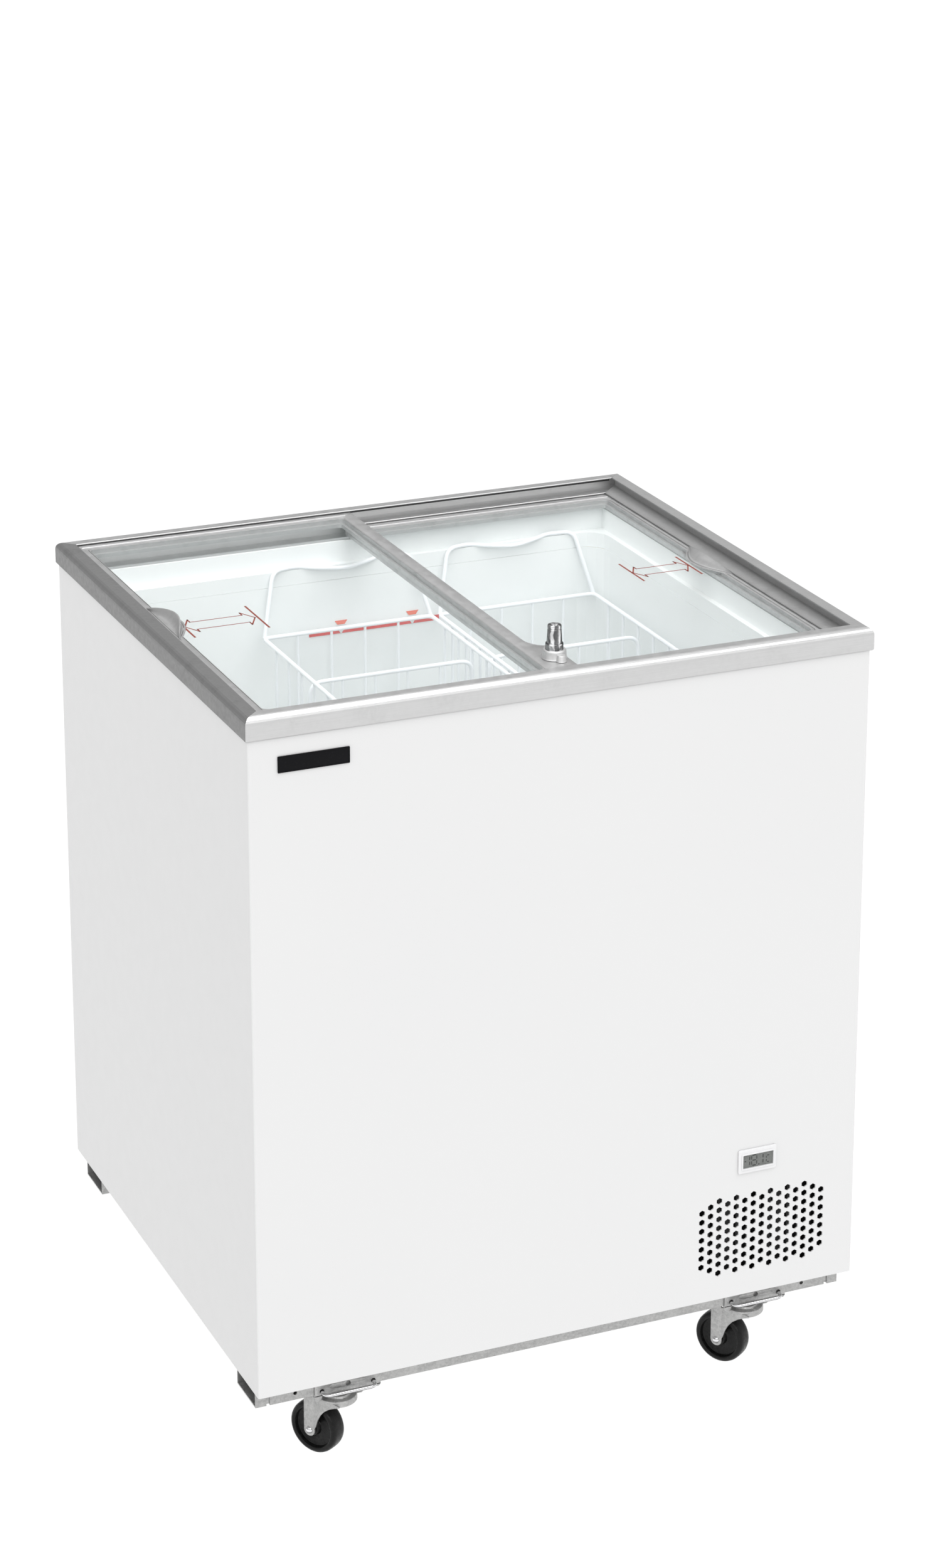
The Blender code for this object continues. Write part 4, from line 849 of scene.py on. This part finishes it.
def make_thermometer():
    (x0, _, z0), (x1, _, z1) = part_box("thermometer_bezel")
    wx0, wx1, wz0, wz1 = x0 + 0.0052, x1 - 0.0040, z0 + 0.0058, z1 - 0.0062
    window = rounded(wx0, wx1, wz0, wz1, 0.0006, 3)
    bezel = Piece()
    face = rounded(x0, x1, z0, z1, 0.0018, 4)
    bezel.add(solid([face, window], FACE_Y - 0.0020, FACE_Y, "Y", 0.0006, 3))
    lip = grown((wx0, wx1, wz0, wz1), 0.0016, 0.0014, 4)
    bezel.add(solid([lip, window], FACE_Y - 0.0030, FACE_Y - 0.0015, "Y", 0.0005, 3))
    inset, case_rear = 0.0035, -0.3032
    bezel.add(block((x0 + inset, FACE_Y + 0.0004, z0 + inset), (x1 - inset, case_rear, z1 - inset), 0.0006))
    bezel.done("thermometer_case", "cabinet", "white_plastic", ["thermometer_bezel"])

    margin, screen_y = 0.0004, FACE_Y - 0.0012
    screen = Piece()
    screen.add(block((wx0 - margin, screen_y, wz0 - margin), (wx1 + margin, FACE_Y, wz1 + margin)), "lcd")
    low, height, bar = wz0 + 0.0020, 0.0122, 0.0012
    for shape, offset, width in (("-", 0.0014, 0.0040), ("1", 0.0026, 0.0062), ("8", 0.0112, 0.0064),
                                 ("1", 0.0192, 0.0062)):
        figure(screen, shape, wx0 + offset, low, width, height, bar, screen_y)
    figure(screen, "C", wx0 + 0.0295, low + 0.0010, 0.0044, 0.0080, 0.0010, screen_y)
    point = block((wx0 + 0.0196, screen_y - INK, low - 0.0004), (wx0 + 0.0210, screen_y, low + 0.0010))
    screen.add(point, "digit")
    screen.done("thermometer_screen", "cabinet", None, ["thermometer_display"])


# ---------------------------------------------------------------- inside


def make_load_line():
    """Red line on the rear wall, with two marks that point down at it."""
    y, ink = REAR_WALL_Y, 0.0003
    line = Piece()
    line.add(block((-0.0704, y - ink, 0.7415), (0.0955, y, 0.7480)), "red")
    for x in (-0.0300, 0.0610):
        mark = [(x - 0.0045, 0.7525), (x + 0.0045, 0.7525), (x + 0.0080, 0.7575), (x - 0.0080, 0.7575)]
        line.add(solid([mark], y - ink, y, "Y"), "orange")
        pointer = [(x, 0.7405), (x + 0.0070, 0.7515), (x - 0.0070, 0.7515)]
        line.add(solid([pointer], y - 0.0005, y, "Y"), "white_plastic")
    line.done("load_line", "cabinet")


# A basket's carrying loop, end to end: share of the width from the middle, rise, lean towards the wall
LOOP = ((-0.495, 0.0, 0.0), (-0.420, 0.0764, 0.0125), (-0.270, 0.0764, 0.0190), (-0.164, 0.0735, 0.0120),
        (0.011, 0.0695, 0.0100), (0.149, 0.0745, 0.0125), (0.229, 0.0764, 0.0190), (0.395, 0.0764, 0.0150),
        (0.497, 0.0, 0.0))


def hung(first, second, radius):
    """Thin wire from the rim down one wall, across the floor and up the other wall."""
    (ax, ay), (bx, by) = first, second
    points = [(ax, ay, BASKET_RIM), (ax, ay, BASKET_FLOOR), (bx, by, BASKET_FLOOR), (bx, by, BASKET_RIM)]
    return tube(filleted(points, radius), THIN_WIRE)


def make_basket(side, x0, x1):
    """Rim, straight wires with free ends inside the uprights, a low ring, hung wires, and two loops."""
    name = side + "_basket"
    piece = Piece()
    rim = [(x, y, BASKET_RIM) for x, y in ((x0, -BASKET_Y), (x1, -BASKET_Y), (x1, BASKET_Y), (x0, BASKET_Y))]
    piece.add(tube(filleted(rim, 0.008, 5, True), THICK_WIRE, True))
    low = BASKET_RIM - 0.092
    weld, gap, over = 2 * THIN_WIRE - 0.0002, 0.006, 0.003
    for end in (-1, 1):
        y = end * (BASKET_Y - weld)
        piece.add(tube([(x0 - over, y, low), (x1 - gap, y, low)], THIN_WIRE))
    side_low = low - 2 * THIN_WIRE
    for x in (x0 + weld, x1 - weld):
        piece.add(tube([(x, -BASKET_Y + gap, side_low), (x, BASKET_Y - gap, side_low)], THIN_WIRE))
    a, b, end, height = x0 + 0.001, x1 - 0.001, BASKET_Y - 0.001, BASKET_FLOOR + 0.02
    ring = [(a, -end, height), (b, -end, height), (b, end, height), (a, end, height)]
    piece.add(tube(filleted(ring, 0.008, 4, True), THIN_WIRE, True))
    count = 11
    for number in range(1, count + 1):
        y = -BASKET_Y + 2 * BASKET_Y * number / (count + 1)
        piece.add(hung((x0, y), (x1, y), 0.012))
    count = 4
    for number in range(1, count + 1):
        x = x0 + (x1 - x0) * number / (count + 1)
        piece.add(hung((x, BASKET_Y), (x, -BASKET_Y), 0.012))
    width, middle = x1 - x0, (x0 + x1) / 2
    for end in (-1, 1):
        points = [(middle + u * width, end * (BASKET_Y + lean), BASKET_RIM + rise + 0.0006)
                  for u, rise, lean in LOOP]
        piece.add(tube(filleted(points, 0.012, 6), THICK_WIRE))
    piece.done(name + "_wires", name, "wire", [name])

    y, margin, bars = DIVIDER_Y, 0.0054, 5
    a, b, foot = x0 + margin, x1 - margin, BASKET_FLOOR + 0.0055
    hoop = [(a, y, foot), (a, y, DIVIDER_TOP), (b, y, DIVIDER_TOP), (b, y, foot)]
    divider = Piece()
    divider.add(tube(filleted(hoop, 0.016, 7), THICK_WIRE))
    divider.add(tube([(a, y, foot + 0.004), (b, y, foot + 0.004)], THIN_WIRE))
    for number in range(1, bars):
        x = a + (b - a) * number / bars
        divider.add(tube([(x, y, foot), (x, y, DIVIDER_TOP)], THIN_WIRE))
    divider.done(name + "_divider_wires", name, "wire", [name + "_divider"])


# ---------------------------------------------------------------- running gear


def make_bracket(name, x, side):
    """Angle under a channel: a plate, and an outer flange with pin holes and an embossed bead."""
    outer, inner, sheet = side * 0.2960, side * 0.2370, 0.0015
    half, top, plate_z, tab = BRACKET_HALF, 0.1077, 0.0822, 0.0085
    y0, y1 = sorted((outer, inner))
    piece = Piece()
    piece.add(block((x - half, y0, plate_z), (x + half, y1, 0.0837), 0.0003))

    def drill(hole_x, hole_z, radius):
        return solid([circle(hole_x, hole_z, radius)], outer - 0.01, outer + 0.01, "Y")

    f0, f1 = sorted((outer, outer - side * sheet))
    outline = [(x - half, top), (x - half, 0.0790), (x - half + 0.003, 0.0765), (x - half + 0.006, 0.0765),
               (x - half + tab, 0.0790), (x - half + tab, plate_z), (x + half - tab, plate_z),
               (x + half - 0.0060, 0.0800), (x + half - 0.002, 0.0800), (x + half, plate_z), (x + half, top)]
    bead_z, bead_half, bead_r, bead_rise, hole_r = PIN_Z + 0.004, 0.0215, 0.0036, 0.0016, 0.0030
    flange = solid([outline[::-1]], f0, f1, "Y")
    pin_holes = [drill(x + end * PIN_HALF, PIN_Z, PIN_R + 0.0005) for end in (-1, 1)]
    piece.add(carve(flange, drill(x, bead_z, hole_r), *pin_holes, bevel=0.0003))
    rings = []
    steps, arc = 24, 12
    half_turn = [pi * i / arc for i in range(arc + 1)]
    for step in range(steps + 1):
        t = -1 + 2 * step / steps
        size = bead_r * sqrt(max(0.0, 1 - abs(t) ** 6)) + 0.00001
        proud = side * bead_rise * min(1, size / bead_r)
        rings.append([(x + t * bead_half, outer + proud * sin(a), bead_z + size * cos(a)) for a in half_turn])
    piece.add(carve(loft(rings), drill(x, bead_z, hole_r)))
    piece.done(name + "_angle", "cabinet", "galvanised", [name])


def make_castor(corner, bracket_x, side, degrees):
    """Fork with a raceway dish and flared flanges, moulded wheel, and riveted axle."""
    spot = (bracket_x - side * SWIVEL_SHIFT, side * SWIVEL_Y, 0)
    turn = Matrix.Translation(spot) @ Matrix.Rotation(radians(degrees), 4, "Z")
    across = turn @ Matrix.Translation((TRAIL, 0, WHEEL_R)) @ Matrix.Rotation(pi / 2, 4, "X")

    fork = Piece()
    dish = [(0, 0.0819), (0.0150, 0.0819), (0.0164, 0.0814), (0.0168, 0.0800), (0.0180, 0.0790),
            (0.0204, 0.0786), (0.0219, 0.0778), (0.0225, 0.0764), (0.0226, 0.0715), (0.0216, 0.0715),
            (0.0214, 0.0752), (0.0204, 0.0762), (0.0150, 0.0766), (0, 0.0766)]
    fork.add(lathe(dish, (0, 0, 0), 56), None, turn)
    inner, sheet, strip, flare = WHEEL_HALF + 0.0022, 0.0022, 0.0070, 0.17
    shoulder, crown = 0.0725, 0.0760
    fold = TRAIL - strip
    angles = [radians(a) for a in range(180, 361, 15)]
    foot = [(TRAIL + strip * cos(a), WHEEL_R + strip * sin(a)) for a in angles]
    leg = foot + [(TRAIL + strip, shoulder), (TRAIL + strip - 0.0035, crown), (fold + 0.0030, crown),
                  (fold, shoulder)]
    flange = [(-0.0195, 0.0745), (-0.0120, 0.0712), (-0.0040, 0.0668), (0.0040, 0.0606), (0.0100, 0.0534),
              (0.0145, 0.0450), (0.0175, 0.0360), (fold + 0.0004, 0.0330), (fold + 0.0004, shoulder),
              (0.0140, crown), (-0.0195, crown)]
    for hand in (-1, 1):
        low, high = sorted((hand * inner, hand * (inner + sheet)))
        fork.add(solid([leg], low, high, "Y", 0.0004), None, turn)
        slope = hand * flare
        lean = Matrix(((1, 0, 0, 0), (-slope, 1, 0, slope * fold), (0, 0, 1, 0), (0, 0, 0, 1)))
        fork.add(solid([flange], low, high, "Y", 0.0004), None, turn @ lean)
    body = corner + "_castor_fork"
    fork.done(f"castor_fork_{corner}_pressing", body, "galvanised", ["castor_fork_" + corner])

    half = [(0.0043, 0.0114), (0.0078, 0.0114), (0.0084, 0.0110), (0.0090, 0.0060), (0.0100, 0.0050),
            (0.0215, 0.0046), (0.0228, 0.0052), (0.0236, 0.0092), (0.0242, 0.0100), (0.0262, 0.0103),
            (0.0282, 0.0097), (0.0296, 0.0082), (0.0303, 0.0060), (0.0305, 0.0030), (0.0305, 0.0)]
    wheel = Piece()
    wheel.add(lathe(both_sides(half) + [half[0]], (0, 0, 0), 72), None, across)
    wheel.done(f"castor_wheel_{corner}_moulded", corner + "_castor_wheel", "wheel",
               ["castor_wheel_" + corner], angle=50)

    reach = inner + sheet
    half = [(0, reach + 0.0030), (0.0016, reach + 0.0028), (0.0030, reach + 0.0020), (0.0038, reach + 0.0009),
            (0.0041, reach + 0.0003), (0.0041, reach), (0.0038, reach), (0.0038, 0)]
    axle = Piece()
    axle.add(lathe(both_sides(half), (0, 0, 0), 40), None, across)
    axle.done(f"castor_axle_{corner}_rivet", body, "chrome", ["castor_axle_" + corner])


def make_pin(side, x):
    """Wire pin bent to a U, its two legs through the bracket's flange."""
    name, face = "castor_pin_" + side, -0.2960
    front, rear = face - 0.010, face + 0.033
    corners = [(x - PIN_HALF, rear, PIN_Z), (x - PIN_HALF, front, PIN_Z - 0.001),
               (x + PIN_HALF, front, PIN_Z - 0.001), (x + PIN_HALF, rear, PIN_Z)]
    pin = Piece()
    pin.add(tube(filleted(corners, 0.008, 8), PIN_R, False, 6))
    pin.done(name + "_wire", side + "_castor_pin", "chrome", [name])


make_stage()
make_lids()
make_track_edges()
make_lock()
make_nameplate()
make_thermometer()
make_load_line()
for basket in BASKETS:
    make_basket(*basket)
for corner, x, side, degrees in CASTORS:
    make_bracket("castor_bracket_" + corner, x, side)
    make_castor(corner, x, side, degrees)
make_pin("left", -BRACKET_X)
make_pin("right", BRACKET_X)
